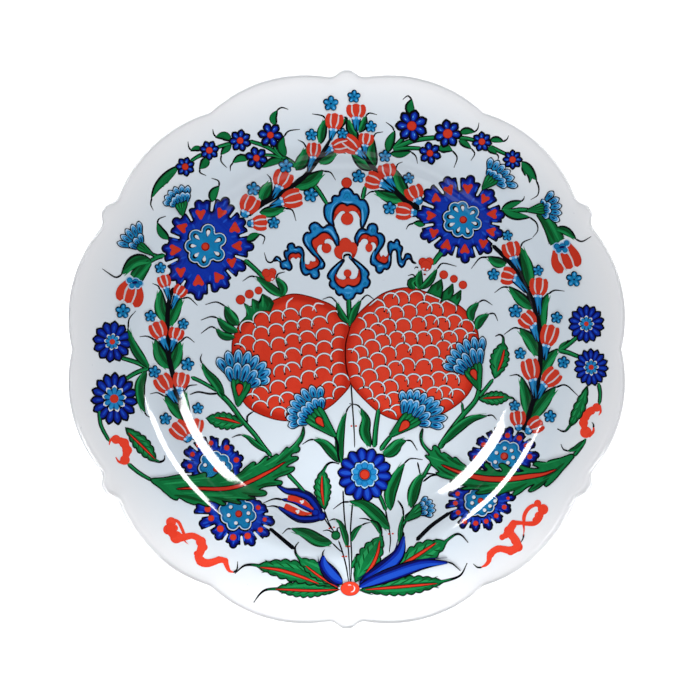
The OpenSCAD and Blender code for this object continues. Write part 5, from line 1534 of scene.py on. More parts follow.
m = Motif("bouquet_leaves_right", "green")
toothed(m, 1, (6.6, -128), (51.6, -123.4), 9.4, 9, [(9.8, -127.7), (28, -126.2), (48, -124.4)],
        hair=((56, -122), (60.8, -119.6), (63.9, -113.6)))
toothed(m, 6, (24, -117.8), (53, -102.2), 11.6, 6, [(24.6, -117.2), (36, -110.4), (47.5, -102.8)], bend=0.6,
        hair=((57.6, -98.4), (61, -98.8), (64.4, -102.6)))
toothed(m, 6, (4.4, -123.6), (18.8, -99.6), 11.4, 6,
        [(7.1, -124), (13.4, -115), (16.4, -108.1), (17.5, -101.8)], bend=0.4,
        hair=((18.2, -96), (16.4, -92), (12.2, -90.8)))
blue_leaf(m, 11, [(7, -124.4), (18, -117.6), (27.4, -109), (30.2, -99)], 7.4, ((30.2, -97.6), (29.6, -96.4)))
blue_leaf(m, 14, [(6.6, -126), (24, -119.4), (40, -114.2), (53.6, -113)], 6.6,
          ((56.4, -114), (60.4, -117.6)))
m.done()

m = Motif("bouquet_knot", "red")
m.dot("dark_red", 18, KNOT, 5.1, 0.76)
m.dot("ribbon", 19, KNOT, 4.95, 0.75)
m.stroke("white", 20, [(2, -129), (3.6, -128.4), (4.2, -126.8), (3.4, -125.4)], 0.7, both_ends, across=2)
m.stroke("white", 20, [(0.6, -125.4), (1.6, -125.1), (2.4, -125.5)], 0.6, both_ends, across=2)
m.done()


# ---- the garland of tulips ---------------------------------------------------------------------

# each tulip: where its petals begin, their tips, its width, and where its blue wedge meets the branch
TULIPS = {"left": (((-7.2, 116.4), (-6.2, 125.2), 10.6, (-8.8, 111)),
                   ((5, 122.6), (4.9, 130.2), 11.6, (5, 115.8)),
                   ((-17.9, 101.7), (-17.3, 109.6), 8.6, (-20.8, 94.8)),
                   ((-36, 86), (-32.4, 94.4), 12, (-39.6, 80.4)),
                   ((-34.8, 78.6), (-24.2, 81.4), 11.4, (-41, 76)),
                   ((-54, 72.6), (-49.8, 81), 12, (-54.8, 70.4)),
                   ((-50.6, 67), (-42.6, 67.4), 9.4, (-52.8, 66.8)),
                   ((-8.4, 107), (1, 109.4), 9.4, (-12, 103.4)),
                   ((-95.8, 32.6), (-97.9, 39.2), 8, (-94.4, 26)),
                   ((-90.4, 28.2), (-87, 33.4), 8.4, (-93.2, 21.6)),
                   ((-98, 5.6), (-101.8, 14.2), 10.6, (-95.4, -0.8)),
                   ((-91.8, 4.8), (-89.8, 11.2), 9.4, (-93.8, -1)),
                   ((-94.4, -22.4), (-99.6, -14.2), 11, (-90.4, -28.8)),
                   ((-88.9, -21), (-87.4, -12.6), 10, (-87.8, -27)),
                   ((-84.6, -47), (-92, -39.6), 11, (-83.4, -48.6)),
                   ((-80.8, -45.6), (-79.6, -37), 9, (-81.4, -47.6))),
          "right": (((9.7, 108), (10.7, 114.6), 9, (9.6, 103.6)),
                    ((6.4, 105.2), (-1.8, 111.8), 10.6, (9.8, 101)),
                    ((22, 91), (20.8, 98.4), 10.8, (25.4, 85.8)),
                    ((18.6, 88.2), (10.4, 91), 10.6, (25, 83.8)),
                    ((37.6, 79.4), (34.4, 86.6), 11.4, (39.4, 77.6)),
                    ((35.2, 72.7), (26.4, 74), 10.4, (37.2, 72.6)),
                    ((88.6, 48.4), (86.4, 56.8), 11, (92, 41.6)),
                    ((89.8, 38), (82.4, 39.8), 10.6, (95.6, 30)),
                    ((101.6, 28), (102.2, 37.8), 11, (102.2, 18.2)),
                    ((99.5, 12.4), (93.4, 18.4), 10.8, (101.2, 4)),
                    ((105.8, 1.6), (109, 12.6), 10.8, (105, -5.6)),
                    ((99, -16.6), (96.6, -5.4), 11, (99.8, -26)),
                    ((104.6, -18.8), (112, -11.6), 10.8, (101.4, -26)),
                    ((91.4, -41), (90.6, -33), 9.6, (91.4, -43)),
                    ((96.4, -42.4), (103.6, -38.4), 10, (95.8, -44.8)))}
BRANCHES = {"left": ([(-8, 113), (-14.2, 102.4), (-22.2, 92.2), (-30.2, 86), (-38, 81.2), (-45, 77.4),
                      (-53, 71.4)],
                     [(-92, 32.8), (-94, 27.5), (-95.2, 19.5), (-95.3, 8.9), (-95.1, -1), (-93.8, -7.6),
                      (-91.9, -15.6), (-90.2, -23.6), (-88.4, -30), (-86, -37.4), (-83.4, -43.2),
                      (-80.6, -48)],
                     [(-41, -95), (-28, -106)]),
            "right": ([(5.4, 116), (7.6, 107), (11.6, 99.6), (16.4, 94), (21.6, 88.6), (27.6, 82.4),
                       (33, 77.8), (38.6, 74.6)],
                      [(77.4, 55.4), (82.6, 50.4), (89.5, 42.9), (93.6, 36.4), (96.8, 29.6), (99.6, 22.4),
                       (101.8, 14.8), (102.8, 7), (103, -1), (102.8, -6), (102.2, -13), (100.8, -21),
                       (98.8, -28), (96.4, -36), (93.6, -43)],
                      [(54.6, -86.8), (45, -93.6), (37, -101.4)])}
# the garland's leaves: the line from base to tip, the width, the fine hair that ends it, and the dark side
LEAVES = {"left": (([(-14, 109.6), (-13.4, 116), (-11.4, 122.4)], 4.6, ((-13, 124.2), (-18.4, 125.2)), 1),
                   ([(-6.4, 117), (-1.8, 121), (-0.6, 123)], 2.4, ((-1.6, 123.6),), 1),
                   ([(-27, 95.6), (-23.4, 101), (-21.4, 107)], 6.4, ((-23, 109.8), (-26, 111.4)), 1),
                   ([(-14.8, 99.4), (-10, 101), (-5.4, 104.8)], 4.6, ((-3.6, 105), (-0.6, 104)), -1),
                   ([(-28.4, 87), (-20, 89), (-12.6, 94.8)], 7.8, ((-8.6, 94), (-6, 90)), -1),
                   ([(-45.4, 79.4), (-43, 84.6), (-40.2, 89)], 6.6, ((-40.6, 91), (-42.4, 93)), 1),
                   ([(-46, 72.6), (-39.6, 73), (-33, 75)], 5.4, ((-29, 74), (-27, 68.4)), -1),
                   ([(-95.4, 14), (-99, 22), (-99.2, 31.6)], 6.4, ((-100.4, 33.8), (-103.2, 35)), 1),
                   ([(-94.4, 12.4), (-91.6, 19.6), (-87.6, 27)], 6.0, ((-83.8, 27.4), (-79.4, 23.4)), -1),
                   ([(-94.8, -10), (-99.4, -3), (-102, 5)], 6.6, ((-106, 7), (-110, 6.8)), 1),
                   ([(-93.4, -11), (-90.6, -4), (-88.4, 4)], 6.6, ((-85, 6.6), (-81, 3.8)), -1),
                   ([(-86.6, -37.4), (-91.6, -31), (-96.8, -25)], 6.0, ((-100.6, -23), (-104.4, -23.6)), 1),
                   ([(-84.6, -38), (-85.8, -30), (-86, -22)], 4.4, ((-84, -19.4), (-79.6, -18.8)), -1)),
          "right": (([(5.8, 112.6), (2.4, 117), (0.4, 122.4)], 4.2, ((-0.4, 123.4), (-1.6, 123.6)), -1),
                    ([(6.6, 115.6), (8.4, 119), (10, 124)], 3.6, ((12, 125.6), (16, 124.8)), 1),
                    ([(14.6, 96.8), (12.6, 104), (13.8, 112)], 6.0, ((15.4, 114.8), (19.2, 115.6)), 1),
                    ([(14, 96), (8.6, 99), (2.8, 104)], 5.4, ((0.4, 105), (-1, 104.6)), -1),
                    ([(32, 81), (28, 88), (25.8, 95.4)], 6.0, ((27, 98.4), (29.6, 99.6)), 1),
                    ([(30.6, 79.4), (23, 80.6), (14.8, 84)], 5.8, ((12.4, 83.6), (9.8, 81.4)), 1),
                    ([(97.4, 33), (96, 43), (92.4, 54.4)], 6.6, ((93.8, 57), (98.4, 59)), -1),
                    ([(84.6, 45.6), (79.6, 46.2), (75, 49)], 5.2, ((70.6, 48.4), (66.2, 43)), 1),
                    ([(98.8, 21.6), (92.6, 26.4), (86.2, 33)], 5.8, ((82.6, 33), (78.6, 30.2)), 1),
                    ([(104, 10.4), (103.6, 20), (107, 29.4)], 6.2, ((110.4, 31.4), (115.6, 31)), -1),
                    ([(101.4, -3.4), (98, 4), (91.8, 11)], 6.8, ((88.6, 11.4), (83.6, 8)), 1),
                    ([(103.6, -13.4), (106.4, -7), (112, 0)], 6.2, (), -1),
                    ([(96.6, -35.6), (95, -25), (92.6, -14.8)], 6.0, ((90.4, -13.4), (86.6, -14)), 1),
                    ([(97.6, -37.4), (103.6, -29), (111, -20.2)], 7.2, ((116.4, -19), (123, -24.8)), -1))}
for side in ("left", "right"):
    m = Motif("garland_leaves_" + side, "green")
    for points, width, hair, dark in LEAVES[side]:
        leaf(m, 2, points, width, hair, dark)
    m.done()
    m = Motif("garland_branch_" + side, "black")
    upper, lower, stem = BRANCHES[side]
    m.stroke("black", 5, upper, 2.7, along((0, 0.3), (0.12, 0.7), (0.7, 1), (1, 1.1)))
    m.stroke("black", 5, lower, 2.5, along((0, 0.8), (0.3, 1), (0.9, 1), (1, 1)))
    m.stroke("black", 3, stem, 1.9, along((0, 0.9), (0.5, 1), (1, 1.1)))
    m.done()
    m = Motif("garland_tulips_" + side, "red")
    for base, tip, width, foot in TULIPS[side]:
        tulip(m, 6, base, tip, width, foot)
    m.done()

m = Motif("garland_star_flowers", "turquoise")
for x, y, r in (
        (-8.4, 130.6, 3.9), (-18.7, 113.9, 3.1), (-2.2, 114.6, 2.8), (-49.6, 85.2, 3.5), (-19, 82, 3.8),
        (-32.3, 97.4, 3.7), (3.9, 134.3, 3.3), (12.9, 118.3, 3.0), (20.4, 102.6, 3.2), (6.3, 91.9, 3.4),
        (32.9, 90.8, 2.9), (22.8, 75, 3.4), (-38.7, 67.2, 3.1), (-98.9, 43.2, 2.9), (-104.2, 17.6, 3.0),
        (-86.8, 13.4, 2.8), (-102.1, -12, 3.2), (-84.6, -8, 3.5), (-96.2, -37, 3.1), (-79, -31.4, 2.9),
        (-118.9, 20.2, 3.8), (85.4, 60.4, 2.7), (78.1, 39.7, 3.1), (101.7, 41.8, 2.8), (89.7, 20.2, 3.5),
        (111.6, 16.8, 3.0), (92.3, -2.3, 3.0), (115.2, -7, 3.1), (89.3, -30, 2.8), (108.1, -35.7, 3.2),
        (120.8, 37.2, 4.0)):
    star(m, 13, (x, y), r, 84 + 4 * math.sin(5 * x))
m.done()


# ---- sprays, carnations, hanging tulips and flowers of the rim ---------------------------------

SPRAYS = {"left": {"flowers": ((-40.6, 113.9, 6.5, 6, 113), (-56.7, 111, 5.7, 7, 82),
                               (-48, 101.7, 5.9, 6, 105), (-73.1, 105.8, 5.0, 7, 65),
                               (-85.9, 97.1, 4.9, 7, 75)),
                   "stems": (([(-34, 102), (-42, 107.4), (-51.6, 110.8)], 1.9),
                             ([(-34.4, 102.6), (-37, 105.4), (-38.8, 108.4)], 1.9),
                             ([(-35, 101.8), (-39, 103), (-43.6, 103.4)], 1.4),
                             ([(-61, 109.6), (-65, 108.6), (-69.4, 107.2)], 1.8),
                             ([(-76.6, 103.8), (-80, 102), (-83, 100)], 1.6),
                             ([(-34, 101.6), (-30, 99.6), (-27, 97.2)], 3.0)),
                   "leaves": (([(-38, 119.2), (-39.4, 123), (-37.2, 127)], 3.4,
                               ((-34.6, 128.6), (-31.2, 127.6)), 1),
                              ([(-32.6, 102.6), (-34.8, 108), (-33.4, 113)], 4.6, ((-31, 116), (-25, 117)),
                               -1),
                              ([(-52.6, 100.8), (-56.4, 101.6), (-60.4, 99.2)], 3.6,
                               ((-61.8, 97.4), (-61.8, 95)), 1),
                              ([(-33.6, 100.4), (-39, 99.8), (-45, 96.6)], 3.8, (), 1),
                              ([(-61.4, 111.6), (-65.4, 113.8), (-69.6, 113)], 4.0,
                               ((-70.8, 114.6), (-71.2, 117)), -1),
                              ([(-61.4, 108.4), (-64, 106.4), (-66.6, 103.6)], 3.2,
                               ((-66.8, 100), (-63.8, 96.6)), 1),
                              ([(-74.2, 102), (-75.4, 98.8), (-78, 96)], 4.4, ((-78, 94), (-74.8, 92.4)), 1),
                              ([(-77, 106.8), (-80.4, 107), (-82.8, 105.8)], 2.4,
                               ((-84, 107.6), (-84.4, 110.4)), -1),
                              ([(-89.6, 97), (-95.6, 91.6), (-100.4, 86.4), (-103.6, 80.6)], 4.4,
                               ((-104.2, 77), (-102.8, 74)), 1),
                              ([(-92, 94), (-94.4, 91), (-95.2, 88.4)], 1.8, (), 1),
                              ([(-94.6, 92), (-97, 89.6), (-97.2, 86.8)], 1.6, (), 1))},
          "right": {"flowers": ((34.5, 118.8, 8.4, 7, 76), (53.6, 114.7, 7.3, 7, 97),
                                (44.2, 104.3, 5.8, 6, 100), (71.8, 110.4, 5.1, 7, 92),
                                (88.1, 100.9, 5.0, 8, 90)),
                    "stems": (([(25, 106.8), (28, 110.4), (32.2, 114.4)], 2.0),
                              ([(25, 106.8), (34, 110.6), (41, 112), (48, 112.6)], 2.6),
                              ([(25, 106.2), (32, 107), (39.6, 106.8)], 2.0),
                              ([(59.4, 112.4), (64, 112), (69, 110.8)], 2.0),
                              ([(76, 107.8), (80.6, 105.6), (85.4, 103.4)], 1.8)),
                    "leaves": (([(21.8, 105), (22.6, 110), (25.2, 116)], 4.4, ((24, 118.4), (20.8, 120.8)),
                                1),
                               ([(23.4, 104), (28.4, 103.6), (34, 105)], 3.4, ((36.6, 102.8), (37.6, 98.8)),
                                -1),
                               ([(35, 125), (33.6, 128.6), (34.6, 132.8)], 4.4,
                                ((32.4, 134.8), (29.8, 132.8)), -1),
                               ([(48.6, 106.4), (52.4, 107.2), (56, 105.8)], 4.4, ((58.6, 102), (57, 96.6)),
                                1),
                               ([(60.2, 115), (64, 116), (67.8, 115.4)], 3.2, ((69.6, 117.4), (70.2, 120.4)),
                                -1),
                               ([(59.8, 111), (63, 109.4), (66, 107)], 3.0, ((68, 104), (66, 100.4)), 1),
                               ([(76.4, 111), (79.6, 111.4), (83, 110.4)], 2.8, ((85, 111.6), (86, 113.6)),
                                -1),
                               ([(74.8, 107), (77.6, 105.8), (79.6, 104)], 2.8,
                                ((80.6, 102.4), (80.2, 100.4)), 1),
                               ([(93, 99.6), (97, 94.6), (100.6, 90)], 4.4,
                                ((102, 86), (101.4, 82), (97.8, 79.6)), -1),
                               ([(93.4, 97.4), (94.6, 95), (95, 92.6)], 1.7, (), 1),
                               ([(96, 94.4), (97.6, 91.6), (97.4, 88.8)], 1.6, (), 1))}}
for side in ("left", "right"):
    m = Motif("flower_spray_" + side, "cobalt")
    for points, width in SPRAYS[side]["stems"]:
        stalk(m, 1, points, width)
    for points, width, hair, dark in SPRAYS[side]["leaves"]:
        leaf(m, 2, points, width, hair, dark, vein=False)
    for x, y, r, petals, turn in SPRAYS[side]["flowers"]:
        daisy(m, 5, (x, y), r, petals, turn, core=1.75 if r < 7 else 2.5)
    m.done()

m = Motif("carnations_rim", "turquoise")
stalk(m, 1, [(-97, 50.2), (-100.6, 49.6), (-104.4, 51)], 1.8)
carnation(m, 8, (-87.4, 71.6), (-91.4, 76.8), (-84.6, 78.6),
          ((-97.4, 78.2), (-96.6, 81.4), (-94.6, 84.2), (-91.6, 86.2), (-88, 87.2), (-84.4, 86.8)),
          ((-94, 77.8), (-92.6, 80.6), (-90.4, 82.6), (-87.4, 83.6), (-84.6, 83.4)), 3.2, teeth=4)
carnation(m, 8, (-103.4, 50.6), (-111.8, 53.4), (-109, 57.2),
          ((-121.8, 56.8), (-120, 60.6), (-117.4, 63.8), (-114.2, 66.2), (-110.6, 67.8)),
          ((-115.8, 56.2), (-113.1, 59.1), (-110.2, 61.5)), 3.2, teeth=3)
carnation(m, 8, (72.4, 85.6), (74.6, 93), (80.4, 88.6),
          ((76.6, 101.6), (80.6, 100.2), (83.8, 98), (86.6, 95), (88.8, 91.4), (90.6, 86.8)),
          ((76.6, 95.8), (79.4, 94.6), (82.4, 92.6), (84.6, 90), (85, 86.8)), 3.5, teeth=4)
carnation(m, 8, (96, 73.8), (104, 78), (104.6, 71.8),
          ((109.6, 83.8), (112.6, 80.2), (114, 76.4), (114, 72.4), (112.8, 68.4)),
          ((105.4, 79), (108.4, 77.2), (108.6, 73.6), (107.2, 70.2)), 3.4, teeth=4)
m.done()


def hanging(m, level, calyx, cap, petals, side_leaf, spot, turn):
    """A tulip that hangs down: three red petals under a blue cap with a dark spot, on a long green calyx."""
    points, width = calyx
    swelling = along((0, 0.3), (0.4, 0.7), (1, 1))
    m.stroke("black", level, points, width, swelling, grow=0.35)
    m.stroke("green", level + 1, points, width, swelling)
    m.stroke("leaf", level + 2, points, width * 0.2, both_ends, shift=width * 0.14)
    m.stroke("deep", level + 2, points, width * 0.2, both_ends, shift=-width * 0.14)
    leaf(m, level, *side_leaf)
    for points, width in petals:
        m.stroke("red", level + 2, points, width, petal_shape)
    lines = np.array([points for points, width in petals])
    for middle in (lines[1:] + lines[:-1]) / 2:
        m.stroke("gap", level + 3, middle, 0.9, round_ends, across=2)
    for x, y, r in cap:
        m.dot("pale", level + 4, (x, y), r)
    for x, y, r in cap:
        m.dot("turquoise", level + 5, (x, y + 0.15), r * 0.74)
    m.dot("navy", level + 6, spot, 1.4, 0.5, turn)


m = Motif("hanging_tulips", "red")
stalk(m, 2, [(-97.4, 49.8), (-100.6, 49), (-105, 46.6)], 2.2)
hanging(m, 4, ([(-104.4, 47), (-108, 43), (-112.4, 37.6)], 7.6),
        ((-115.4, 36.6, 2.1), (-112.2, 35.6, 2.6), (-109.8, 35, 1.8), (-114.2, 33.8, 2.0),
         (-111.2, 33.8, 1.8)),
        (([(-115.6, 37), (-120, 32), (-120.6, 25.8)], 5.0),
         ([(-113.4, 34.6), (-115, 30), (-116.8, 24.6)], 6.4),
         ([(-110.4, 34), (-110, 28), (-112.8, 22.4)], 5.4)),
        ([(-104.8, 47.8), (-112.6, 46.4), (-119.4, 40)], 6.4, ((-123, 38.4), (-129.8, 42.8)), 1),
        (-112.6, 35.6), 10)
stalk(m, 2, [(82.6, 74), (88, 73.6), (92, 74.2), (97, 74)], 2.4)
hanging(m, 4, ([(101.4, 73), (107, 66.8), (112, 57)], 8.4),
        ((111.6, 54.6, 2.2), (114.6, 54.4, 2.6), (116.8, 56.4, 2.0), (112.6, 52.6, 1.9), (116, 52.6, 1.9)),
        (([(110.6, 52.6), (110.8, 46), (114.6, 40.6)], 5.6),
         ([(114.6, 51.6), (117.4, 46.6), (119.2, 42.8)], 6.6),
         ([(117.4, 56.4), (121.4, 50), (122.6, 43.8)], 5.8)),
        ([(111.6, 64.4), (116.6, 62.6), (121.4, 58.8)], 3.8, ((125, 57.4), (129.8, 60)), -1), (114.4, 54.4),
        10)
for points, width, hair, dark in (
        ([(-94.8, 58.6), (-98.6, 62), (-100.8, 67)], 3.8, ((-99.8, 69.4), (-96.2, 70.8)), 1),
        ([(-71.4, 78.6), (-70.6, 83), (-67.8, 86.6)], 4.2, ((-68.2, 89.6), (-71.8, 91)), -1),
        ([(-53, 58), (-49.4, 60.4), (-46.4, 61.4)], 3.6, ((-43.6, 59.6), (-44.6, 56)), 1),
        ([(41.2, 66), (38, 66.8), (35.6, 67)], 2.8, ((33, 66.2), (31.6, 64)), 1),
        ([(82.6, 74.4), (88, 77), (92.8, 78.6)], 3.2, ((94, 80), (94.4, 81.4)), -1),
        ([(83, 74), (89, 71.4), (97, 70.4)], 3.8, ((100.8, 67.2), (101.4, 63), (98.8, 59.6)), 1)):
    leaf(m, 3, points, width, hair, dark, vein=False)
m.done()


def aster(m, level, centre, r, petals, inner_r, inner_count, core, squash, turn):
    """A round flower: long cobalt petals, a ring of light petals with white tips, and a red middle."""
    c = np.array(centre, float)
    size = np.array([1.0, squash])
    wide = 2 * math.pi * r * 0.86 / petals
    for a in spokes(petals, turn):
        m.stroke("black", level, ray(c, a, r * 0.3, r * 1.02, size), wide, round_petal, grow=0.25)
    for a in spokes(petals, turn):
        m.stroke("cobalt", level + 1, ray(c, a, r * 0.36, r * 0.96, size), wide * 0.8, round_petal)
        m.stroke("royal", level + 2, ray(c, a, r * 0.55, r * 0.8, size), wide * 0.26, both_ends)
    m.dot("black", level + 2, c, inner_r * 0.9, squash)
    narrow = 2 * math.pi * inner_r * 0.72 / inner_count
    for a in spokes(inner_count, turn):
        m.stroke("white", level + 3, ray(c, a, inner_r * 0.2, inner_r, size), narrow * 0.8, round_petal)
        m.stroke("sky", level + 4, ray(c, a, inner_r * 0.15, inner_r * 0.86, size), narrow * 0.8,
                 round_petal)
    m.dot("red", level + 5, c, core)


m = Motif("rim_flowers", "cobalt")
for points in ([(-105.4, -9.8), (-112, -6.8), (-120, -4.4)], [(-105.4, -10), (-112, -12.4), (-118.6, -16.4)],
               [(112.6, -0.6), (117.4, 2.4), (122.4, 6.6)], [(112.6, -0.4), (118, -1.8), (123.4, -4)]):
    stalk(m, 1, points, 2.1)
leaf(m, 1, [(112.6, 0.4), (114.6, 2.4), (117, 4.4)], 1.8, ((118.4, 5),), 1, vein=False)
aster(m, 4, (-124.6, 4.1), 10.2, 12, 4.4, 8, 1.45, 1.05, 82)
aster(m, 4, (-123.6, -26.2), 12.2, 15, 6.6, 9, 2.3, 1.12, 88)
aster(m, 4, (127.3, 13.6), 9.3, 14, 4.2, 8, 1.25, 1.06, 90)
aster(m, 4, (129.9, -9.5), 8.8, 15, 4.1, 8, 1.35, 1.1, 92)
m.done()


# ---- crowns and buds of the fruit, and the red ribbons -----------------------------------------

m = Motif("pomegranate_crowns", "green")
CROWN = [(-56.4, 14.4), (-53.4, 17.6), (-53.2, 20.6), (-54.7, 24.6), (-51.6, 22.8), (-50.5, 23), (-50.3, 27),
         (-47.4, 25.6), (-45.4, 25.4), (-44.9, 29.6), (-40.6, 27.2), (-38.8, 24.6), (-39.6, 22.4),
         (-40.6, 20.2), (-43, 20.8), (-46.2, 20), (-48.6, 17.2), (-50.4, 14.6), (-53.4, 14.4)]
sharp = evenly(np.array(CROWN + CROWN[:1], float), 90)[:-1]
m.patch("black", 3, sharp, (-48.8, 21.2), grow=0.25)
m.patch("green", 4, sharp, (-48.8, 21.2))
for points in (((-52, 18), (-53, 21), (-54, 23.6)), ((-49, 20), (-49.6, 23), (-50, 26)),
               ((-44.6, 22.4), (-44.6, 25), (-44.8, 28.6))):
    m.stroke("leaf", 5, points, 1.0, both_ends, across=2)
for points in (((-47, 21.4), (-47.6, 24), (-48.6, 25)), ((-42, 22.4), (-42.4, 25), (-43.6, 27.4))):
    m.stroke("deep", 5, points, 1.5, both_ends, across=2)
for spike, middle in (
        ([(42.6, 30.2), (45.2, 33.9), (50.3, 37.3), (51, 33), (50.5, 29), (49.8, 27), (47, 28)], (47.8, 31)),
        ([(50.2, 25.4), (51.2, 30.4), (56.3, 34.9), (56.7, 30.4), (55.2, 26.4)], (53.8, 29)),
        ([(54, 26.6), (57, 28.8), (60.7, 31.5), (60.5, 26.6), (58.3, 22.6), (56.6, 24.8)], (58.3, 26.6))):
    edge = evenly(np.array(spike + spike[:1], float), 50)[:-1]
    m.patch("black", 3, edge, middle, grow=0.35)
    m.patch("green", 4, edge, middle, grow=-0.1)
    m.stroke("deep", 5, [middle, spike[2]], 1.8, both_ends, across=2)
for x, y, r in ((-56.5, 26.4, 2.45), (-51.8, 29.4, 2.3), (-46.9, 31.3, 2.0), (51.5, 39.7, 2.25),
                (56.9, 37.5, 2.0), (61.7, 34.3, 2.15)):
    m.dot("dark_red", 4, (x, y), r, grow=0.12)
    m.dot("red", 5, (x, y), r)
m.done()

m = Motif("pomegranate_buds", "red")
stalk(m, 2, [(-54, 47.4), (-48.6, 42.6), (-44, 38), (-40, 34)], 2.1)
for points, width, hair, dark in (
        ([(-34, 28.4), (-39, 31.4), (-43.6, 35), (-48.2, 38.6)], 4.6, ((-51.4, 38.8), (-55.4, 36.2)), 1),
        ([(-34, 28.4), (-33.8, 33), (-37.6, 38.2)], 4.4, ((-36.4, 40.2), (-33, 41.2)), -1),
        ([(39, 32), (38, 37), (39.4, 42)], 4.4, (), 1),
        ([(39.2, 32.2), (43.8, 36.4), (47.8, 42.6)], 3.8, ((51, 45.8), (58.2, 44.2)), 1),
        ([(36, 32), (34, 35.4), (36.6, 38.2)], 3.8, ((35, 39.8), (32.6, 39.2)), -1),
        ([(-57.6, 13), (-61.6, 17.4), (-64.6, 23)], 6.0, ((-69.4, 25.2), (-75.2, 23.8)), -1),
        ([(-58, 9.4), (-64, 12), (-68.8, 16.8)], 4.6, ((-72.4, 17.4), (-77.4, 15.6)), -1),
        ([(-59.6, 6.4), (-65.6, 7.4), (-69.4, 11)], 3.8, ((-72.4, 12), (-77.4, 8.6)), -1),
        ([(66.6, 14.8), (65.8, 20), (70, 25)], 4.4, ((73, 26.2), (77.4, 23.6)), 1),
        ([(69, 10.6), (70.6, 15.4), (75.4, 18.8)], 4.6, ((78.4, 19), (80.2, 15.2)), 1),
        ([(0.8, 14), (-3, 19), (-5.4, 25)], 3.4, ((-8.6, 27.8), (-12.8, 26.6)), -1),
        ([(1.8, 13.6), (3.8, 20), (7.4, 26)], 3.8, ((10.8, 28.9), (14.6, 26.4)), 1)):
    plain_leaf(m, 3, points, width, hair, dark)
stalk(m, 2, [(50.4, 51.4), (47.8, 48.4), (45.8, 45.4)], 2.6)
BUDS = ((-42.9, 40.6, 2.2), (-39.6, 41, 2.1), (-41, 38.9, 2.9), (40.4, 46.5, 2.2), (43.8, 46.6, 2.2),
        (42.1, 44.6, 2.9))
for x, y, r in BUDS:
    m.dot("dark_red", 6, (x, y), r, grow=0.15)
for x, y, r in BUDS:
    m.dot("red", 7, (x, y), r)
for x, y in ((-39.6, 37.4), (-38.6, 36.6), (-40, 36), (-38.6, 35.2), (40.8, 42.8), (42.8, 42.4),
             (41.6, 41.2), (42.2, 40.6)):
    m.dot("white", 8, (x, y), 0.62, 0.8, 30)
m.dot("dark_red", 8, (41.4, 39.9), 0.7, 0.6)
m.stroke("black", 6, [(38, 43.4), (36.6, 43.8), (36, 42.8)], 0.6, hair_shape, across=2)
m.done()

m = Motif("red_ribbons", "red")
for x, y, r in (
        (-93.4, -91.8, 2.7), (-94.9, -95.7, 2.7), (-91.6, -95, 1.9), (-90.6, -99.8, 3.3),
        (-77.5, -102.2, 2.7), (-75.8, -105.2, 1.9), (-80, -108.4, 1.3), (-77.6, -112.4, 2.5),
        (-73.4, -113.7, 2.0), (-68, -111.8, 1.9), (-64.6, -112.4, 1.7), (101.4, -81.8, 1.9),
        (104.3, -85, 2.8), (102, -88.4, 2.2), (100.6, -90.8, 2), (88.6, -92.4, 1.8), (86.2, -96.4, 2.7),
        (82.6, -99.8, 1.6), (89.6, -101.6, 2.4), (91, -105, 2.5), (87, -107, 2.4), (80.4, -106, 1.9),
        (76.4, -108.8, 2.0), (-122.7, -47.8, 2.4), (-118.3, -49.8, 2.6), (-116.7, -53.6, 2.6),
        (-117.9, -58.7, 2.6), (132.8, -30.8, 2.3), (130, -32.6, 2.1), (126.6, -35.8, 2.5), (125.8, -39, 2.4),
        (127, -44, 3.1)):
    m.dot("ribbon", 3, (x, y), r)
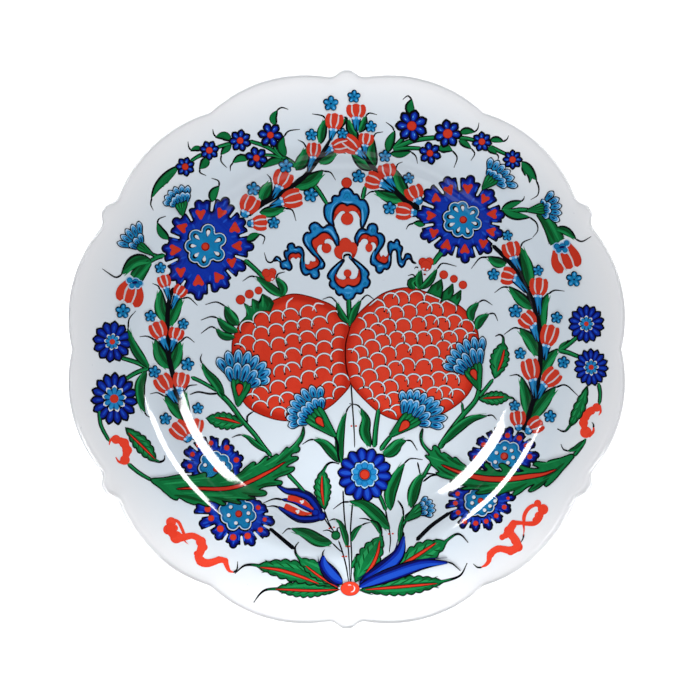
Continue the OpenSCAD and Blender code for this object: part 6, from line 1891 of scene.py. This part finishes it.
for points, width, rule in (
        ([(-92.4, -90), (-89.4, -91.8), (-87.6, -95.4), (-86, -99.4)], 1.7, round_ends),
        ([(-93, -92), (-93.6, -96), (-91, -100)], 4.6, round_ends),
        ([(-90, -100.4), (-86, -99.7), (-82, -99), (-78.5, -100.8), (-76.9, -103.6), (-77.6, -107),
          (-78.8, -110), (-77.2, -112.8), (-74, -113.6), (-70.5, -112.8), (-67.6, -111.8), (-64.8, -112.4),
          (-63.8, -115), (-62.4, -117.7), (-60.2, -118.4)],
         5.0,
         along((0, 0.9), (0.12, 0.7), (0.22, 0.66), (0.34, 0.92), (0.46, 0.86), (0.56, 0.95), (0.68, 0.76),
               (0.82, 0.62), (0.93, 0.4), (1, 0.12))),
        ([(-87, -100.6), (-85.6, -102.4), (-84, -103.6)], 1.0, hair_shape),
        ([(94.2, -92.6), (94.2, -88.8), (95.8, -85.4), (98.4, -83.2), (101.4, -82.6)], 2.1, round_ends),
        ([(102.6, -83), (103.4, -86.4), (102.4, -90), (99.8, -92.3), (96, -92.6), (92.6, -92.2),
          (88.6, -92.2)],
         2.8, along((0, 1), (0.5, 1), (0.8, 0.7), (1, 1))),
        ([(88.6, -92.6), (86.4, -96), (84.6, -98.6), (82.2, -100)], 4.0,
         along((0, 1), (0.6, 1.1), (1, 0.5))),
        ([(87, -98), (89.8, -101.6), (90.6, -104.8), (87.4, -106.8), (83.6, -106.2), (80.4, -105.9),
          (77.2, -107.8), (75.8, -110.2), (75.4, -112.6), (73.6, -114.7), (71.4, -115.7)],
         4.3, along((0, 1), (0.35, 1), (0.5, 0.8), (0.7, 0.85), (0.82, 0.6), (0.92, 0.4), (1, 0.1))),
        ([(93.9, -93), (94.2, -96), (93.8, -99)], 1.3, hair_shape),
        ([(-126.3, -50.8), (-125.4, -48), (-122.8, -46.8)], 2.2, along((0, 0.2), (1, 1))),
        ([(-122.8, -57.2), (-121.2, -59.6), (-118, -60.4)], 2.2, along((0, 0.2), (1, 1))),
        ([(-122.6, -47.6), (-118.6, -49.6), (-117, -54), (-118, -58.6)], 4.2, round_ends),
        ([(133.9, -35), (134.9, -33), (134, -30)], 2.2, along((0, 0.2), (1, 1))),
        ([(131, -40), (131, -43.6), (128.4, -46)], 2.4, along((0, 0.2), (1, 1))),
        ([(132.8, -30.8), (128.4, -33.6), (125.8, -38), (126.6, -43)], 4.2, round_ends)):
    m.stroke("ribbon", 4, points, width, rule)
for points in (((-60.6, -118.6), (-58.4, -117), (-58, -112.8)), ((72, -115.8), (69.4, -115.8), (67.2, -114)),
               ((94, -98), (93.6, -100.6), (92.4, -102.6)), ((131.2, -41.4), (131, -39.6), (130.2, -38.8))):
    m.stroke("black", 4, points, 0.9, hair_shape)
m.done()


# ---- camera, light and floor -------------------------------------------------------------------

VIEW_WIDTH = 0.3720        # the picture's width on the plate's plane, in metres
VIEW_AT = (0.0017, -0.0003, 1.6)


def aim(obj, place, target):
    obj.location = place
    obj.rotation_mode = "QUATERNION"
    obj.rotation_quaternion = (Vector(target) - Vector(place)).to_track_quat("-Z", "Y")


camera = bpy.data.objects.new("camera", bpy.data.cameras.new("camera"))
bpy.context.scene.collection.objects.link(camera)
camera.data.type = "ORTHO"
camera.data.ortho_scale = VIEW_WIDTH
camera.location = VIEW_AT
camera.data.clip_start, camera.data.clip_end = 0.1, 20
bpy.context.scene.camera = camera


def area_light(name, place, target, size, power):
    data = bpy.data.lights.new(name, "AREA")
    data.shape = "RECTANGLE"
    data.size, data.size_y = size
    data.energy = power
    obj = bpy.data.objects.new(name, data)
    bpy.context.scene.collection.objects.link(obj)
    aim(obj, place, target)
    return obj


def softbox(name, bearing, zenith, distance, size, power, colour=(1, 1, 1)):
    """A flat light that faces the plate. bearing is counted from +X, zenith from straight up."""
    b, e = math.radians(bearing), math.radians(zenith)
    place = Vector((math.sin(e) * math.cos(b), math.sin(e) * math.sin(b), math.cos(e))) * distance
    light = area_light(name, place, (0, 0, 0.02), size, power)
    light.data.color = colour
    return light


def wash(name, place, target, size, power, spread=180):
    """A soft light close to the plate. It brightens part of the face, and shows in no reflection."""
    light = area_light(name, place, target, size, power)
    light.data.spread = math.radians(spread)
    light.visible_glossy = False


# two softboxes light the plate, and a second pair in front of them only makes their reflections stronger
softbox("softbox_right", 33, 31, 1.7, (0.50, 0.46), 7.3, (1.0, 0.99, 0.98))
softbox("softbox_left", 140, 31, 1.7, (0.46, 0.48), 6.7, (0.97, 0.985, 1.0))
softbox("gleam_right", 33, 31, 1.69, (0.48, 0.44), 11.0).visible_diffuse = False
softbox("gleam_left", 140, 31, 1.69, (0.44, 0.46), 13.0).visible_diffuse = False
softbox("low_card", -90, 66, 1.5, (2.4, 0.55), 4.0, (0.97, 0.98, 1.0))
wash("wash_bottom", (0, -0.235, 0.09), (0, -0.10, 0.01), (0.36, 0.05), 0.5)
wash("wash_well", (0, 0.03, 0.13), (0, -0.095, 0.015), (0.12, 0.04), 0.011, 60)
wash("wash_top", (0, 0.235, 0.09), (0, 0.10, 0.01), (0.34, 0.05), 0.22)

scene = bpy.context.scene
scene.world = bpy.data.worlds.new("studio")
scene.world.use_nodes = True
room = scene.world.node_tree.nodes["Background"]
room.inputs["Color"].default_value = (0.9, 0.95, 1.0, 1)
room.inputs["Strength"].default_value = 0.09
scene.view_settings.view_transform = "Standard"
scene.view_settings.look = "None"

bpy.ops.mesh.primitive_circle_add(vertices=96, radius=4.0, fill_type="NGON", location=(0, 0, -0.0002))
floor = bpy.context.active_object
floor.name = "floor"
pale = Nodes("pale_floor")
for name, value in (
        ("Base Color", (0.9, 0.9, 0.9, 1)), ("Roughness", 0.9), ("Emission Color", (1, 1, 1, 1)),
        ("Emission Strength", 0.75)):
    pale.bsdf.inputs[name].default_value = value
floor.data.materials.append(pale.mat)
